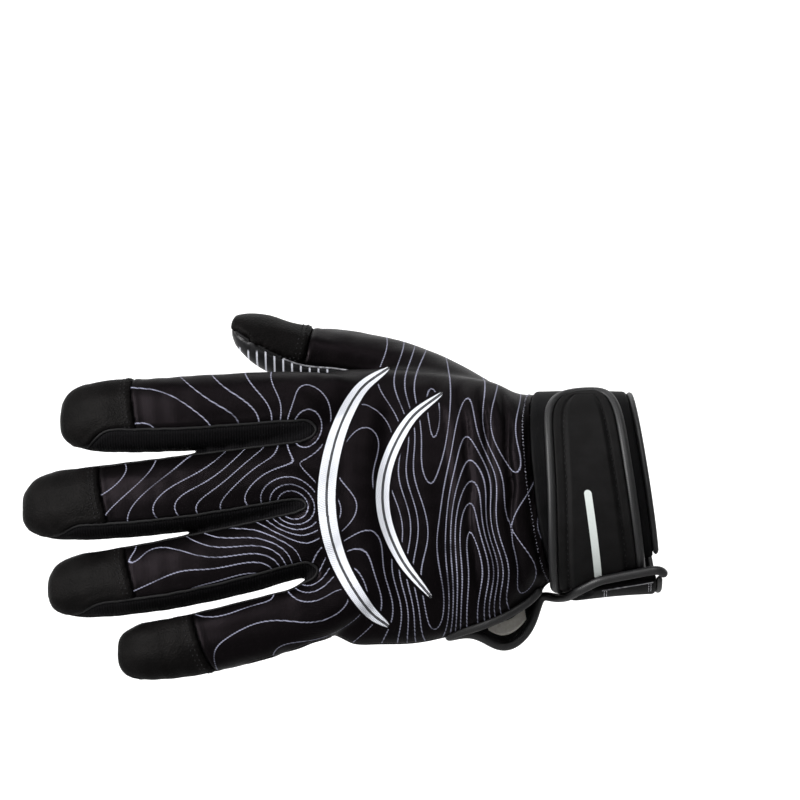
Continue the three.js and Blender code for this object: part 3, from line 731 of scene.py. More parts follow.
def thumb_rooms(points):
    """How far inside the thumb's back room, and its palm room, each point is."""
    along = (-CUFF_LENGTH - THUMB_START - points[:, 0]) / THUMB_LENGTH
    for _ in range(3):
        held = np.clip(along, 0.04, 0.96)
        across, back = thumb_axes(held)
        middle = thumb_middle(np.clip(along, 0, 0.99))
        middle[:, 0] = -CUFF_LENGTH - THUMB_START - along * THUMB_LENGTH
        tangent = unit(np.cross(across, back))
        tangent = np.where(tangent[:, :1] > 0, -tangent, tangent)
        along = along + dot(points - middle, tangent) / THUMB_LENGTH
    rooms = []
    own = smooth(along, 0.28, 0.44)
    for sign in (1, -1):
        half = THUMB_WIDTH / 2 + 5
        ends = []
        for side in (-1, 1):
            reach = HEEL_REACH if side > 0 else -0.1
            base = stack(middle[:, 0], reach * PALM_DEPTH, HEEL_SIDE * PALM_WIDTH)
            ends.append(lerp(base, middle + side * half * across, own[:, None]))
        line = ends[1] - ends[0]
        span = np.linalg.norm(line, axis=1)
        u = dot(points - ends[0], line / span[:, None])
        level = dot(points - (ends[0] + line * (u / span)[:, None]), back) * sign
        far = lerp(PALM_WIDTH / 2, THUMB_DEPTH / 2 + 5, own)
        start = -0.12 if sign > 0 else 0.32
        inside = np.minimum.reduce([level, far - level, u, span - u, (along - start) * THUMB_LENGTH])
        rooms.append(inside)
    return rooms[0], rooms[1], along


def nearest_finger(points):
    """Which finger's middle line each point is closest to, and how far along it."""
    best, which, place = np.full(len(points), 1e9), np.zeros(len(points), int), np.zeros(len(points))
    for k, finger in enumerate(FINGERS.values()):
        along = (finger_root(finger)[0] - points[:, 0]) / finger["length"]
        middle = finger_middle(finger, np.clip(along, -0.3, 0.99))
        apart = np.linalg.norm(points[:, 1:] - middle[:, 1:], axis=1) + 60 * np.maximum(along - 1, 0)
        closer = apart < best
        best, which = np.where(closer, apart, best), np.where(closer, k, which)
        place = np.where(closer, along, place)
    return which, place


def cap_reach(points, which, thumb_back):
    """How far past its cap's seam each point is, on its own finger or on the thumb."""
    reach = np.full(len(points), -50.0)
    for k, finger in enumerate(FINGERS.values()):
        along = 1 - finger["cap"] / finger["length"]
        across, back = finger_axes(finger, np.array(along))
        tangent = unit(np.cross(across, back))
        tangent = -tangent if tangent[0] > 0 else tangent
        own = which == k
        from_seam = points[own] - finger_middle(finger, along)
        reach[own] = from_seam @ tangent - math.tan(math.radians(CAP_SLANT)) * (from_seam @ across)
    along = 1 - THUMB_CAP_LENGTH / THUMB_LENGTH
    across, back = thumb_axes(np.array(along))
    tangent = unit(np.cross(across, back))
    tangent = -tangent if tangent[0] > 0 else tangent
    on_thumb = thumb_back > 0
    reach[on_thumb] = (points[on_thumb] - thumb_middle(along)) @ tangent
    return reach


def slit_angles(along):
    share = np.clip(along * PALM_LENGTH / SLIT_REACH, 0, 1)
    opening = np.sqrt(1 - share**2)
    back = lerp(SLIT_CUFF_DEG, SLIT_BACK_DEG, smooth(share, 0, 0.7))
    return 180 - back * opening, 180 + SLIT_PALM_DEG * opening


def slit_opening(points):
    """How far inside the slit's opening each point is, in millimetres round the wrist."""
    along, degrees = palm_place(points)
    low, high = slit_angles(along)
    to_mm = math.pi * WRIST_DEPTH / 360
    inside = np.minimum(degrees - low, high - degrees) * to_mm
    return np.where((points[:, 2] < 0) & (along * PALM_LENGTH < SLIT_REACH), inside, -5.0)


# Materials


class Wire:
    """A socket of a material, as a value to reckon with."""

    def __init__(self, shader, socket):
        self.shader, self.socket = shader, socket

    def __add__(self, other):
        return self.shader.math("ADD", self, other)

    def __sub__(self, other):
        return self.shader.math("SUBTRACT", self, other)

    def __rsub__(self, other):
        return self.shader.math("SUBTRACT", other, self)

    def __mul__(self, other):
        return self.shader.math("MULTIPLY", self, other)

    def __truediv__(self, other):
        return self.shader.math("DIVIDE", self, other)

    __radd__ = __add__
    __rmul__ = __mul__

    def step(self, low, high):
        """0 below one value, 1 above another, and smooth between them."""
        return self.shader.node("ShaderNodeMapRange", {"interpolation_type": "SMOOTHSTEP"},
                                {"Value": self, "From Min": low, "From Max": high})


class Shader:
    """A material with one Principled surface, and the means to reckon its inputs."""

    def __init__(self, name, **settings):
        self.material = bpy.data.materials.new(name)
        self.material.use_nodes = True
        self.tree = self.material.node_tree
        self.tree.nodes.clear()
        self.surface = self.tree.nodes.new("ShaderNodeBsdfPrincipled")
        output = self.tree.nodes.new("ShaderNodeOutputMaterial")
        self.tree.links.new(self.surface.outputs[0], output.inputs["Surface"])
        self.set(self.surface, settings)

    def set(self, node, inputs):
        for name, value in inputs.items():
            socket = node.inputs[name]
            if isinstance(value, Wire):
                self.tree.links.new(value.socket, socket)
            elif isinstance(value, tuple) and len(value) == 3 and socket.type == "RGBA":
                socket.default_value = (*value, 1.0)
            else:
                socket.default_value = value

    def node(self, kind, options=None, inputs=None, output=0):
        node = self.tree.nodes.new(kind)
        for name, value in (options or {}).items():
            setattr(node, name, value)
        self.set(node, inputs or {})
        return Wire(self, node.outputs[output])

    def math(self, operation, *values):
        return self.node("ShaderNodeMath", {"operation": operation}, dict(enumerate(values)))

    def value(self, name):
        """A named value of the mesh."""
        return self.node("ShaderNodeAttribute", {"attribute_name": name}, output="Fac")

    def weave(self):
        """The place on the cloth, in millimetres: along, and round."""
        place = self.node("ShaderNodeUVMap", {"uv_map": "weave"})
        return [self.node("ShaderNodeSeparateXYZ", inputs={0: place}, output=k) for k in (0, 1)]

    def wave(self, value, period):
        """From -1 to 1 and back, once in a period."""
        return self.math("SINE", value * (2 * math.pi / period))

    def noise(self, size, detail=2.0, place=None):
        """Soft random values from 0 to 1, at a grain size in millimetres."""
        at = place or self.node("ShaderNodeTexCoord", output="Object")
        scale = 1 / size if place else 1 / (size * MM)
        return self.node("ShaderNodeTexNoise", inputs={"Vector": at, "Scale": scale, "Detail": detail})

    def cells(self, size, feature="F1"):
        at = self.node("ShaderNodeTexCoord", output="Object")
        return self.node("ShaderNodeTexVoronoi", {"feature": feature},
                         {"Vector": at, "Scale": 1 / (size * MM)}, output="Distance")

    def mix(self, share, low, high):
        return self.node("ShaderNodeMix", {"data_type": "RGBA"}, {0: share, 6: low, 7: high}, output=2)

    def bump(self, height, depth, strength=1.0):
        """A relief, whose height from 0 to 1 stands for a depth in millimetres."""
        normal = self.node("ShaderNodeBump", inputs={"Height": height, "Distance": depth * MM,
                                                     "Strength": strength})
        self.set(self.surface, {"Normal": normal})

    def finish(self, **inputs):
        self.set(self.surface, {name.replace("_", " "): value for name, value in inputs.items()})
        return self.material


LINE_WIDTH = 0.36
KNIT_BLACK = (0.0008, 0.0007, 0.0008)
KNIT_WORN = (0.0019, 0.0016, 0.0017)
LINE_PALE = (0.25, 0.255, 0.335)
BAND_WHITE = (0.80, 0.82, 0.88)
PIN_HALF = 0.42


def printed_knit():
    """Fine black knit with pale contour lines and white bands printed on it."""
    s = Shader("printed_knit", **{"Specular IOR Level": 0.045, "Specular Tint": (1.0, 0.8, 0.92, 1.0)})
    along, round_ = s.weave()
    twill = s.wave(along + round_, 0.72)
    loops = s.wave(along - round_, 0.58) * s.wave(round_ + 0.15 * along, 0.58)
    grain = s.noise(0.5, 3.0)
    height, slope = s.value("height"), s.value("slope")
    near = s.math("ABSOLUTE", s.math("FRACT", height) - 0.5) / s.math("MAXIMUM", slope, 0.02)
    knit_dash = s.wave(round_ + 0.4 * along, 0.9).step(-0.9, 0.1)
    width = 0.5 * LINE_WIDTH * (0.5 + 0.4 * grain + 0.4 * knit_dash)
    line = (width - near).step(-0.1, 0.1)
    away, half = s.value("band"), s.value("band_half")
    from_middle = s.math("ABSOLUTE", s.value("band_side"))
    inside = (half - away).step(-0.10, 0.10)
    pin = (from_middle - PIN_HALF).step(-0.06, 0.10)
    thread_line = (0.13 - from_middle).step(-0.04, 0.06) * 0.16
    dots = (s.wave(along + 0.55 * round_, 1.05) * s.wave(round_ - 0.55 * along, 1.05)).step(0.2, 0.8)
    white = inside * (pin * (1 - 0.30 * dots) * (0.86 + 0.2 * grain) + thread_line)
    clear = (away - half).step(0.9, 1.2)
    faded = s.noise(11.0, 3.0).step(0.26, 0.52)
    lines = line * clear * (0.3 + 0.8 * faded) * (0.5 + 0.6 * knit_dash)
    worn = (s.noise(14.0, 4.0) + 0.35 * s.noise(1.1, 2.0)).step(0.45, 0.95)
    colour = s.mix(worn, KNIT_BLACK, KNIT_WORN)
    colour = s.mix(s.math("MINIMUM", lines, 1.0), colour, LINE_PALE)
    colour = s.mix(white, colour, BAND_WHITE)
    colour = s.mix((0.5 + 0.5 * twill) * 0.35, colour, (0.001, 0.001, 0.001))
    s.bump(0.5 + 0.3 * twill + 0.2 * loops + 0.3 * grain + 0.12 * white, 0.05)
    return s.finish(Base_Color=colour, Roughness=0.33 + 0.1 * grain + 0.3 * white)


def side_knit():
    """Ribbed black stretch knit between the fingers."""
    s = Shader("side_knit", **{"Specular IOR Level": 0.05})
    along, round_ = s.weave()
    grain = s.noise(0.6, 3.0)
    rib = s.wave(along + 0.4 * grain, 0.95) * 0.5 + 0.5
    s.bump(0.6 * rib + 0.5 * grain, 0.14)
    colour = s.mix((rib * 0.6 + grain * 0.5).step(0.2, 1.0), (0.0014, 0.0014, 0.0016), (0.0042, 0.0038, 0.0044))
    return s.finish(Base_Color=colour, Roughness=0.8 + 0.15 * grain)


def cap_leather():
    """Supple black leather with a pebble grain, a little worn on its crowns."""
    s = Shader("cap_leather", **{"Specular IOR Level": 0.035, "Specular Tint": (1.0, 0.96, 0.94, 1.0)})
    pebbles = s.cells(0.62)
    wrinkles = s.noise(3.2, 3.0)
    fine = s.noise(0.28, 2.0)
    s.bump(pebbles * 0.9 + 0.6 * wrinkles + 0.2 * fine, 0.13)
    worn = (s.noise(9.0, 3.0) + 0.35 * pebbles).step(0.5, 1.0)
    colour = s.mix(worn, (0.0012, 0.0011, 0.0011), (0.0034, 0.0030, 0.0030))
    return s.finish(Base_Color=colour, Roughness=0.38 + 0.16 * fine + 0.1 * pebbles)


def grip():
    """The tacky palm material: smooth, with fine pale bars across it."""
    s = Shader("grip", **{"Specular IOR Level": 0.2, "Coat Weight": 0.02, "Coat Roughness": 0.35})
    along, round_ = s.weave()
    mottled = s.noise(2.4, 4.0)
    near = s.math("ABSOLUTE", s.math("FRACT", along / 3.2) - 0.5) * 3.2
    dashes = s.wave(round_, 9.0).step(-0.55, -0.25)
    bars = (0.32 - near).step(-0.08, 0.08) * dashes * s.value("bars")
    colour = s.mix((mottled + 0.2 * s.noise(0.7)).step(0.4, 0.9), (0.0032, 0.0032, 0.0036), (0.0072, 0.0070, 0.0078))
    colour = s.mix(bars, colour, (0.46, 0.47, 0.52))
    s.bump(mottled + 0.5 * s.noise(0.5, 2.0) - 0.3 * bars, 0.12)
    return s.finish(Base_Color=colour, Roughness=0.36 + 0.2 * mottled)


def neoprene(name="neoprene", dark=(0.0018, 0.0018, 0.0020), pale=(0.0036, 0.0035, 0.0039), mark=None):
    """Foam with a smooth, very fine knitted face, and a plain pale bar printed on it where marked."""
    s = Shader(name, **{"Specular IOR Level": 0.05})
    along, round_ = s.weave()
    face = s.wave(along + round_, 0.7) * s.wave(along - round_, 0.7)
    grain = s.noise(0.45, 3.0)
    soft = s.noise(7.0, 3.0)
    s.bump(0.25 * face + 0.4 * grain + 0.5 * soft, 0.06)
    colour = s.mix((soft + 0.3 * grain).step(0.4, 0.95), dark, pale)
    for at_along, at_round, half_length, radius in mark or []:
        past = s.math("MAXIMUM", s.math("ABSOLUTE", round_ - at_round) - half_length, 0.0)
        side = along - at_along
        reach = s.math("SQRT", past * past + side * side)
        colour = s.mix((radius - reach).step(-0.06, 0.06) * (0.9 + 0.15 * grain), colour, MARK_PALE)
    return s.finish(Base_Color=colour, Roughness=0.48 + 0.2 * grain)


def binding(name="binding", dark=(0.0028, 0.0028, 0.0031), pale=(0.0068, 0.0066, 0.0074)):
    """A rolled edge of fine-ribbed tape."""
    s = Shader(name, **{"Specular IOR Level": 0.42})
    along, round_ = s.weave()
    rib = s.wave(along + 0.6 * round_, 0.8) * 0.5 + 0.5
    grain = s.noise(0.7, 3.0)
    s.bump(0.45 * rib + 0.35 * grain, 0.08)
    colour = s.mix((0.5 * rib + 0.6 * grain).step(0.3, 1.0), dark, pale)
    return s.finish(Base_Color=colour, Roughness=0.38 + 0.2 * grain)


def thread(name, dark, pale):
    """Twisted sewing thread."""
    s = Shader(name, **{"Specular IOR Level": 0.2})
    grain = s.noise(1.6, 2.0)
    s.bump(grain, 0.08)
    return s.finish(Base_Color=s.mix(grain.step(0.3, 0.7), dark, pale), Roughness=0.6 + 0.2 * grain)


def label_cloth():
    """Pale woven tape."""
    s = Shader("label_cloth", **{"Sheen Weight": 0.1})
    along, round_ = s.weave()
    weave = s.wave(along, 0.5) * s.wave(round_, 0.5)
    grain = s.noise(1.2, 3.0)
    s.bump(0.4 * weave + 0.3 * grain, 0.1)
    colour = s.mix(grain.step(0.3, 0.8), (0.62, 0.59, 0.53), (0.74, 0.72, 0.67))
    return s.finish(Base_Color=colour, Roughness=0.78 + 0.1 * grain)


def plain_stage(name, colour, glow_from, glow_to):
    """Pale paper with painted light: it glows, faintly on the floor in front and nearly white further back, in place
    of lamp light on a lit studio wall.
    """
    s = Shader(name, **{"Emission Strength": 1.0, "Specular IOR Level": 0.0})
    place = s.node("ShaderNodeTexCoord", output="Object")
    back = s.node("ShaderNodeSeparateXYZ", inputs={0: place}, output=1)
    # Painted light: an emission, weak in front and nearly white behind, stands in for lamp light on the studio wall.
    glow = s.mix(back.step(glow_from, glow_to), (0.04, 0.04, 0.04), (0.95, 0.95, 0.95))
    return s.finish(Base_Color=s.mix(s.noise(60.0), colour, tuple(0.985 * c for c in colour)),
                    Roughness=0.8 + 0.05 * s.noise(9.0), Emission_Color=glow)


# The plain bar on the strap's face: place across and round it, half length and radius
STRAP_MARK = [(22.5, 60.0, 15.0, 1.3)]
MARK_PALE = (0.58, 0.62, 0.60)

KNIT = printed_knit()
RIBBED = side_knit()
LEATHER = cap_leather()
GRIP = grip()
NEOPRENE = neoprene()
STRAP_FACE = neoprene("strap_face", (0.0052, 0.0050, 0.0050), (0.0082, 0.0079, 0.0081), STRAP_MARK)
BINDING = binding()
LABEL = label_cloth()
DARK_THREAD = thread("dark_thread", (0.0012, 0.0012, 0.0013), (0.0075, 0.0072, 0.0082))
SEAM_CORD = thread("seam_cord", (0.0010, 0.0010, 0.0011), (0.0040, 0.0038, 0.0043))
PALE_THREAD = thread("pale_thread", (0.035, 0.034, 0.042), (0.30, 0.30, 0.36))
WHITE_THREAD = thread("white_thread", (0.42, 0.42, 0.46), (0.66, 0.66, 0.70))
RAW_EDGE = thread("raw_edge", (0.10, 0.10, 0.11), (0.34, 0.34, 0.36))


# The printed pattern, as values at the knit's points

HILLS = table("x z height spread_x spread_z", [
    (-52, 14, 3.4, 7.5, 26),
    (-62, -26, -4.6, 6.0, 30),
    (-76, 18, 3.6, 6.5, 30),
    (-75, -40, 4.2, 8.0, 16),
    (-102, 8, -2.4, 10, 30),
    (-46, -34, 2.6, 8.0, 14),
    (-118, 30, 2.4, 22, 11),
    (-122, -6, 3.2, 18, 13),
    (-116, -34, -2.8, 19, 11),
    (-150, 24, -2.2, 24, 9),
    (-158, -4, 2.6, 24, 9),
    (-152, -34, -2.4, 22, 9),
    (-186, 4, -2.0, 20, 9),
    (-186, -30, 2.2, 20, 9),
])
RAMP = (0.05, 0.03)

# Where the fingers part, as (x, z): close rings of lines lie round these
CROTCHES = [(-121, 20.0), (-125, -6.5), (-120.5, -29.5)]
RING_RISE = 3.4
RING_SPREAD = 6.0

ARCS = [
    [(-91, 43), (-102, 34), (-110, 17), (-113, -4), (-109, -24), (-99, -41), (-91, -48)],
    [(-72, 34), (-84, 24), (-92, 8), (-93, -8), (-87, -24), (-76, -38)],
]
BAND_HALF = (3.1, 2.3)


def print_values(points, normals):
    """The contour lines' height and steepness, and the bands' distance and half width."""
    x = points[:, 0] + 2.2 * np.sin(points[:, 2] * 0.19 + 0.6) * np.sin(points[:, 0] * 0.045)
    z = points[:, 2] + 1.8 * np.sin(points[:, 0] * 0.16 + 1.1)
    height = RAMP[0] * x + RAMP[1] * z
    slope_x, slope_z = np.full(len(x), RAMP[0]), np.full(len(x), RAMP[1])
    for k in range(len(HILLS["x"])):
        hill = {name: values[k] for name, values in HILLS.items()}
        dx, dz = (x - hill["x"]) / hill["spread_x"], (z - hill["z"]) / hill["spread_z"]
        rise = hill["height"] * np.exp(-0.5 * (dx**2 + dz**2))
        height += rise
        slope_x -= rise * dx / hill["spread_x"]
        slope_z -= rise * dz / hill["spread_z"]
    for at_x, at_z in CROTCHES:
        dx, dz = (points[:, 0] - at_x) / RING_SPREAD, (points[:, 2] - at_z) / RING_SPREAD
        rise = RING_RISE * np.exp(-0.5 * (dx**2 + dz**2))
        height += rise
        slope_x -= rise * dx / RING_SPREAD
        slope_z -= rise * dz / RING_SPREAD
    slope = stack(slope_x, 0, slope_z)
    slope -= scaled(dot(slope, normals), np.ones(3)) * normals
    x, z = points[:, 0], points[:, 2]
    band, side, half = np.full(len(x), 50.0), np.full(len(x), 50.0), np.full(len(x), 1.0)
    for line, width in zip(ARCS, BAND_HALF):
        knots = np.array(line, float)
        t = np.linspace(0, 1, len(knots))
        fine = np.linspace(0, 1, 300)
        rows = dict(along=t, x=knots[:, 0], z=knots[:, 1])
        path = np.stack([column(rows, "x", fine), column(rows, "z", fine)], 1)
        tree = KDTree(len(path))
        for k, (px, pz) in enumerate(path):
            tree.insert((px, 0, pz), k)
        tree.balance()
        run = np.gradient(path, axis=0)
        for i in np.flatnonzero((x < -55) & (x > -140)):
            _, k, away = tree.find((x[i], 0, z[i]))
            if away - width < band[i] - half[i]:
                offset = run[k, 0] * (z[i] - path[k, 1]) - run[k, 1] * (x[i] - path[k, 0])
                band[i], side[i] = away, math.copysign(away, offset)
                half[i] = width * math.sin(math.pi * fine[k]) ** 0.45
    slope = np.linalg.norm(slope, axis=1)
    return {"height": height, "slope": slope, "band": band, "band_side": side, "band_half": half}


# The hand's panels


def limb_round(points, which):
    """The place round the hand or a finger, in millimetres, for the knit's courses."""
    radius = 11.0
    middle_y, middle_z = np.zeros(len(points)), np.zeros(len(points))
    for k, finger in enumerate(FINGERS.values()):
        along = (finger_root(finger)[0] - points[:, 0]) / finger["length"]
        middle = finger_middle(finger, np.clip(along, -0.3, 1))
        own = which == k
        middle_y[own], middle_z[own] = middle[own, 1], middle[own, 2]
    angle = np.arctan2(points[:, 2] - middle_z, middle_y - points[:, 1])
    on_finger = middle_z + radius * angle
    there = on_palm(FINGERS["middle"], points[:, 0])
    return lerp(on_finger, points[:, 2] + 0.5 * points[:, 1], there)


def gathers(points):
    """How much the elastic gathers lift each point of the back."""
    x, y, z = points.T
    from_seam = -(x + seam_distance(y) + LEAN_SLOPE * z)
    _, degrees = palm_place(points)
    place = (from_seam - GATHER_INSET) / GATHER_PITCH
    place = place + 0.14 * np.sin(z * 0.10 + 0.4) + 0.07 * np.sin(z * 0.29 + 1.3)
    place = np.clip(place, 0, GATHER_COUNT)
    place = place + 0.11 * np.sin(2 * np.pi * place)
    ridge = np.abs(np.sin(np.pi * place)) ** 1.7
    strength = (1 - 0.17 * place) * (0.86 + 0.2 * np.sin(z * 0.17 + 2.0 * np.floor(place)))
    around = smooth(degrees, 22, 58) * smooth(-degrees, -168, -128)
    return GATHER_HEIGHT * ridge * strength * around


def fold(points, start, end, height, width, shift=0.0):
    """A soft ridge or dip along a line on the back of the hand, as (x, z) places."""
    a, b = np.array(start, float), np.array(end, float)
    line = b - a
    span = np.linalg.norm(line)
    offset = points[:, [0, 2]] - a
    t = offset @ line / span**2
    away = (offset @ np.array([-line[1], line[0]])) / span + shift * np.sin(np.pi * np.clip(t, 0, 1))
    ends = smooth(t, -0.12, 0.18) * smooth(1 - t, -0.12, 0.18)
    return height * np.exp(-0.5 * (away / width) ** 2) * ends


# Soft folds of the back, as (x, z) ends, height, width and bow
FOLDS = [
    ((-100, 31), (-95, -42), 1.5, 4.2, 3.0),
    ((-91, 33), (-87, -38), -1.4, 3.0, 2.0),
    ((-128, 28), (-112, 17), 0.8, 2.0, 1.0),
    ((-124, 33), (-108, 24), -0.6, 1.8, 1.0),
    ((-132, 2), (-114, -6), 0.7, 2.2, 1.0),
    ((-134, 6), (-118, 3), -0.5, 1.8, -1.0),
    ((-130, -24), (-112, -28), 0.65, 2.0, -1.0),
    ((-128, -47), (-110, -43), 0.5, 2.2, 1.0),
    ((-82, 36), (-60, 22), 0.8, 3.0, 2.0),
    ((-80, 12), (-77, -40), 0.7, 2.6, -1.5),
]


def shape_cloth(form):
    """Gathers, folds and small wrinkles, pressed into the skin."""
    normals = form.normals()
    points = form.points
    facing_back = smooth(-normals[:, 1], 0.0, 0.5)
    lift = gathers(points)
    for start, end, height, width, bow in FOLDS:
        lift += fold(points, start, end, height, width, bow) * facing_back
    x, y, z = points.T
    ripple = 0.13 * np.sin(0.31 * x + 0.5 * z + 2 * np.sin(0.11 * x)) * np.sin(0.27 * z - 0.19 * x + 0.4 * y)
    lift += ripple * smooth(-x, 60, 90)
    form.points = points + lift[:, None] * normals


def make_panels():
    """Cuts the skin into its panels, and returns it with each triangle's panel name and the triangles to keep."""
    form = hand_form()
    shape_cloth(form)
    which, place = nearest_finger(form.points)
    thumb_back, thumb_palm, thumb_along = thumb_rooms(form.points)
    back_height = sheet_depth(form.points, 1) - form.points[:, 1]
    palm_height = form.points[:, 1] - sheet_depth(form.points, -1)
    back = np.maximum(np.minimum(back_height, -thumb_palm), thumb_back)
    palm = np.maximum(np.minimum(palm_height, -thumb_back), thumb_palm)
    x, y, z = form.points.T
    wrist = -(seam_distance(y) + 0.1) - LEAN_SLOPE * z - x
    form.values = {
        "back": back,
        "palm": palm,
        "cap": cap_reach(form.points, which, thumb_back),
        "finger": which.astype(float),
        "place": place,
        "wrist": wrist,
        "slit": slit_opening(form.points),
        "thumb": np.maximum(thumb_back, thumb_palm),
        "thumb_along": thumb_along,
    }
    for name in ("wrist", "slit", "back", "palm", "cap"):
        form.values[name] = form.cut(form.values[name])
    mid = {name: form.at_triangles(value) for name, value in form.values.items()}
    label = np.full(len(form.triangles), "", dtype="<U24")
    label[mid["palm"] > 0] = "palm_panel"
    on_back = mid["back"] > 0
    label[on_back] = "back_panel"
    side = (mid["back"] <= 0) & (mid["palm"] <= 0)
    middle_z = [finger_column(f, mid_x(form), 0, 0)[1] for f in FINGERS.values()]
    z = form.points[form.triangles].mean(1)[:, 2]
    names = list(FINGERS)
    for k in range(3):
        between = side & (z < middle_z[k]) & (z >= middle_z[k + 1])
        label[between] = f"side_panel_{names[k]}_{names[k + 1]}"
    capped = on_back & (mid["cap"] > 0)
    on_thumb = mid["thumb"] > 0
    nearest = np.rint(mid["finger"]).astype(int)
    for k, name in enumerate(names):
        label[capped & ~on_thumb & (nearest == k)] = f"{name}_cap"
    label[capped & on_thumb] = "thumb_cap"
    keep = (mid["wrist"] > 0) & (mid["slit"] < 0) & (label != "")
    return form, label, keep


def mid_x(form):
    return form.points[form.triangles].mean(1)[:, 0]


def seams_between(form, label, keep):
    """Lines of points where two panels meet, by the pair of their names."""
    edges, which = edges_of(form.triangles)
    order = np.argsort(which.ravel(), kind="stable")
    owner = order // 3
    edge = which.ravel()[order]
    twin = np.flatnonzero(edge[1:] == edge[:-1])
    one, other = owner[twin], owner[twin + 1]
    apart = (label[one] != label[other]) & keep[one] & keep[other]
    found = {}
    for e, a, b in zip(edge[twin][apart], label[one][apart], label[other][apart]):
        found.setdefault(tuple(sorted((str(a), str(b)))), []).append(edges[e])
    lines = {}
    for pair, rows in found.items():
        made = [form.points[line] for line in chains(rows)]
        lines[pair] = [soften(line, 6) for line in made if length_of(line) > 6]
    return lines


def panel_object(name, part, material, wall):
    source = thing(f"{name}_sheet", part.mesh(name), material)
    solid = source.modifiers.new("wall", "SOLIDIFY")
    solid.thickness = wall * MM
    solid.offset = -1
    solid.use_rim = True
    made = baked(source, f"{name}_cloth")
    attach(made, "root")
    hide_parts(name)
    return made


SLOTS = {
    "back_panel": (KNIT, "printed_knit"),
    "palm_panel": (GRIP, "grip"),
}


def dress_hand():
    form, label, keep = make_panels()
    seams = seams_between(form, label, keep)
    seam_points = np.concatenate([resample(line, 0.5) for lines in seams.values() for line in lines])
    tree = KDTree(len(seam_points))
    for k, p in enumerate(seam_points):
        tree.insert(p, k)
    tree.balance()
    distance = np.array([tree.find(p)[2] for p in form.points])
    normals = form.normals()
    form.values["seam"] = distance
    groove = -0.5 * np.exp(-((distance / 0.55) ** 2)) + 0.22 * np.exp(-(((distance - 1.7) / 0.9) ** 2))
    form.points = form.points + groove[:, None] * normals
    which = np.rint(form.values["finger"]).astype(int)
    form.values["weave"] = np.stack([form.points[:, 0], limb_round(form.points, which)], 1)
    form.values.update(print_values(form.points, normals))
    form.values["bars"] = smooth(form.values["thumb_along"], 0.5, 0.56) * (form.values["thumb"] > 0)
    for name in sorted(set(label[keep])):
        part = form.part(keep & (label == name))
        if name.endswith("cap"):
            raised = CAP_PROUD * smooth(part.values["seam"], 0.0, 0.9)
            part.points = part.points + raised[:, None] * part.normals()
            material, slot = LEATHER, "cap_leather"
        elif name.startswith("side"):
            material, slot = RIBBED, "side_knit"
        else:
            material, slot = SLOTS[name]
        panel_object(name, part, material, KNIT_WALL)
    return form, label, keep, seams


# Stitches and rolled edges


class Recipe:
    """A tree of geometry nodes with named inputs, whose results become plain meshes."""

    def __init__(self, name, **inputs):
        self.tree = bpy.data.node_groups.new(name, "GeometryNodeTree")
        self.tree.is_modifier = True
        sockets = self.tree.interface
        sockets.new_socket("Geometry", in_out="INPUT", socket_type="NodeSocketGeometry")
        sockets.new_socket("Geometry", in_out="OUTPUT", socket_type="NodeSocketGeometry")
        self.ids = {label: sockets.new_socket(label, in_out="INPUT", socket_type=f"NodeSocket{kind}").identifier
                    for label, kind in inputs.items()}
        self.given = self.tree.nodes.new("NodeGroupInput").outputs

    def node(self, kind, options=None, inputs=None, output=0):
        node = self.tree.nodes.new(kind)
        for name, value in (options or {}).items():
            setattr(node, name, value)
        for name, value in (inputs or {}).items():
            if isinstance(value, bpy.types.NodeSocket):
                self.tree.links.new(value, node.inputs[name])
            else:
                node.inputs[name].default_value = value
        return node.outputs[output]

    def math(self, operation, *values):
        return self.node("ShaderNodeMath", {"operation": operation}, dict(enumerate(values)))

    def read(self, name, kind="FLOAT"):
        return self.node("GeometryNodeInputNamedAttribute", {"data_type": kind}, {"Name": name})

    def store(self, geometry, name, value, kind="FLOAT", domain="POINT"):
        return self.node("GeometryNodeStoreNamedAttribute", {"data_type": kind, "domain": domain},
                         {"Geometry": geometry, "Name": name, "Value": value})

    def end(self, geometry):
        """Smooth faces, plain geometry and the given material, last."""
        geometry = self.node("GeometryNodeSetShadeSmooth", inputs={"Geometry": geometry})
        geometry = self.node("GeometryNodeRealizeInstances", inputs={"Geometry": geometry})
        geometry = self.node("GeometryNodeSetMaterial", inputs={"Geometry": geometry,
                                                                "Material": self.given["Material"]})
        self.tree.links.new(geometry, self.tree.nodes.new("NodeGroupOutput").inputs[0])

    def make(self, name, points, edges=(), vectors=None, **values):
        mesh = bpy.data.meshes.new(f"{name}_path")
        mesh.from_pydata(points * MM, edges, [])
        for label, numbers in (vectors or {}).items():
            attribute = mesh.attributes.new(label, "FLOAT_VECTOR", "POINT")
            attribute.data.foreach_set("vector", numbers.astype(np.float32).ravel())
        source = thing(f"{name}_path", mesh)
        modifier = source.modifiers.new("recipe", "NODES")
        modifier.node_group = self.tree
        for label, value in values.items():
            modifier[self.ids[label]] = value
        return baked(source, name)


def stitch_recipe():
    """Short plump threads, one at each point, lying along its own direction."""
    r = Recipe("stitches", Length="Float", Thickness="Float", Uneven="Float", Material="Material")
    shortest = r.math("SUBTRACT", 1.0, r.given["Uneven"])
    share = r.node("FunctionNodeRandomValue", {"data_type": "FLOAT"}, {2: shortest, 3: 1.0, "Seed": 7})
    size = r.node("ShaderNodeCombineXYZ", inputs={0: r.math("MULTIPLY", r.given["Length"], share),
                                                  1: r.given["Thickness"], 2: r.given["Thickness"]})
    turned = r.node("FunctionNodeAxesToRotation", {"primary_axis": "X", "secondary_axis": "Z"},
                    {"Primary Axis": r.read("run", "FLOAT_VECTOR"), "Secondary Axis": r.read("out", "FLOAT_VECTOR")})
    one = r.node("GeometryNodeMeshUVSphere", inputs={"Segments": 8, "Rings": 5, "Radius": 0.5})
    r.end(r.node("GeometryNodeInstanceOnPoints", inputs={"Points": r.given["Geometry"], "Instance": one,
                                                         "Rotation": turned, "Scale": size}))
    return r


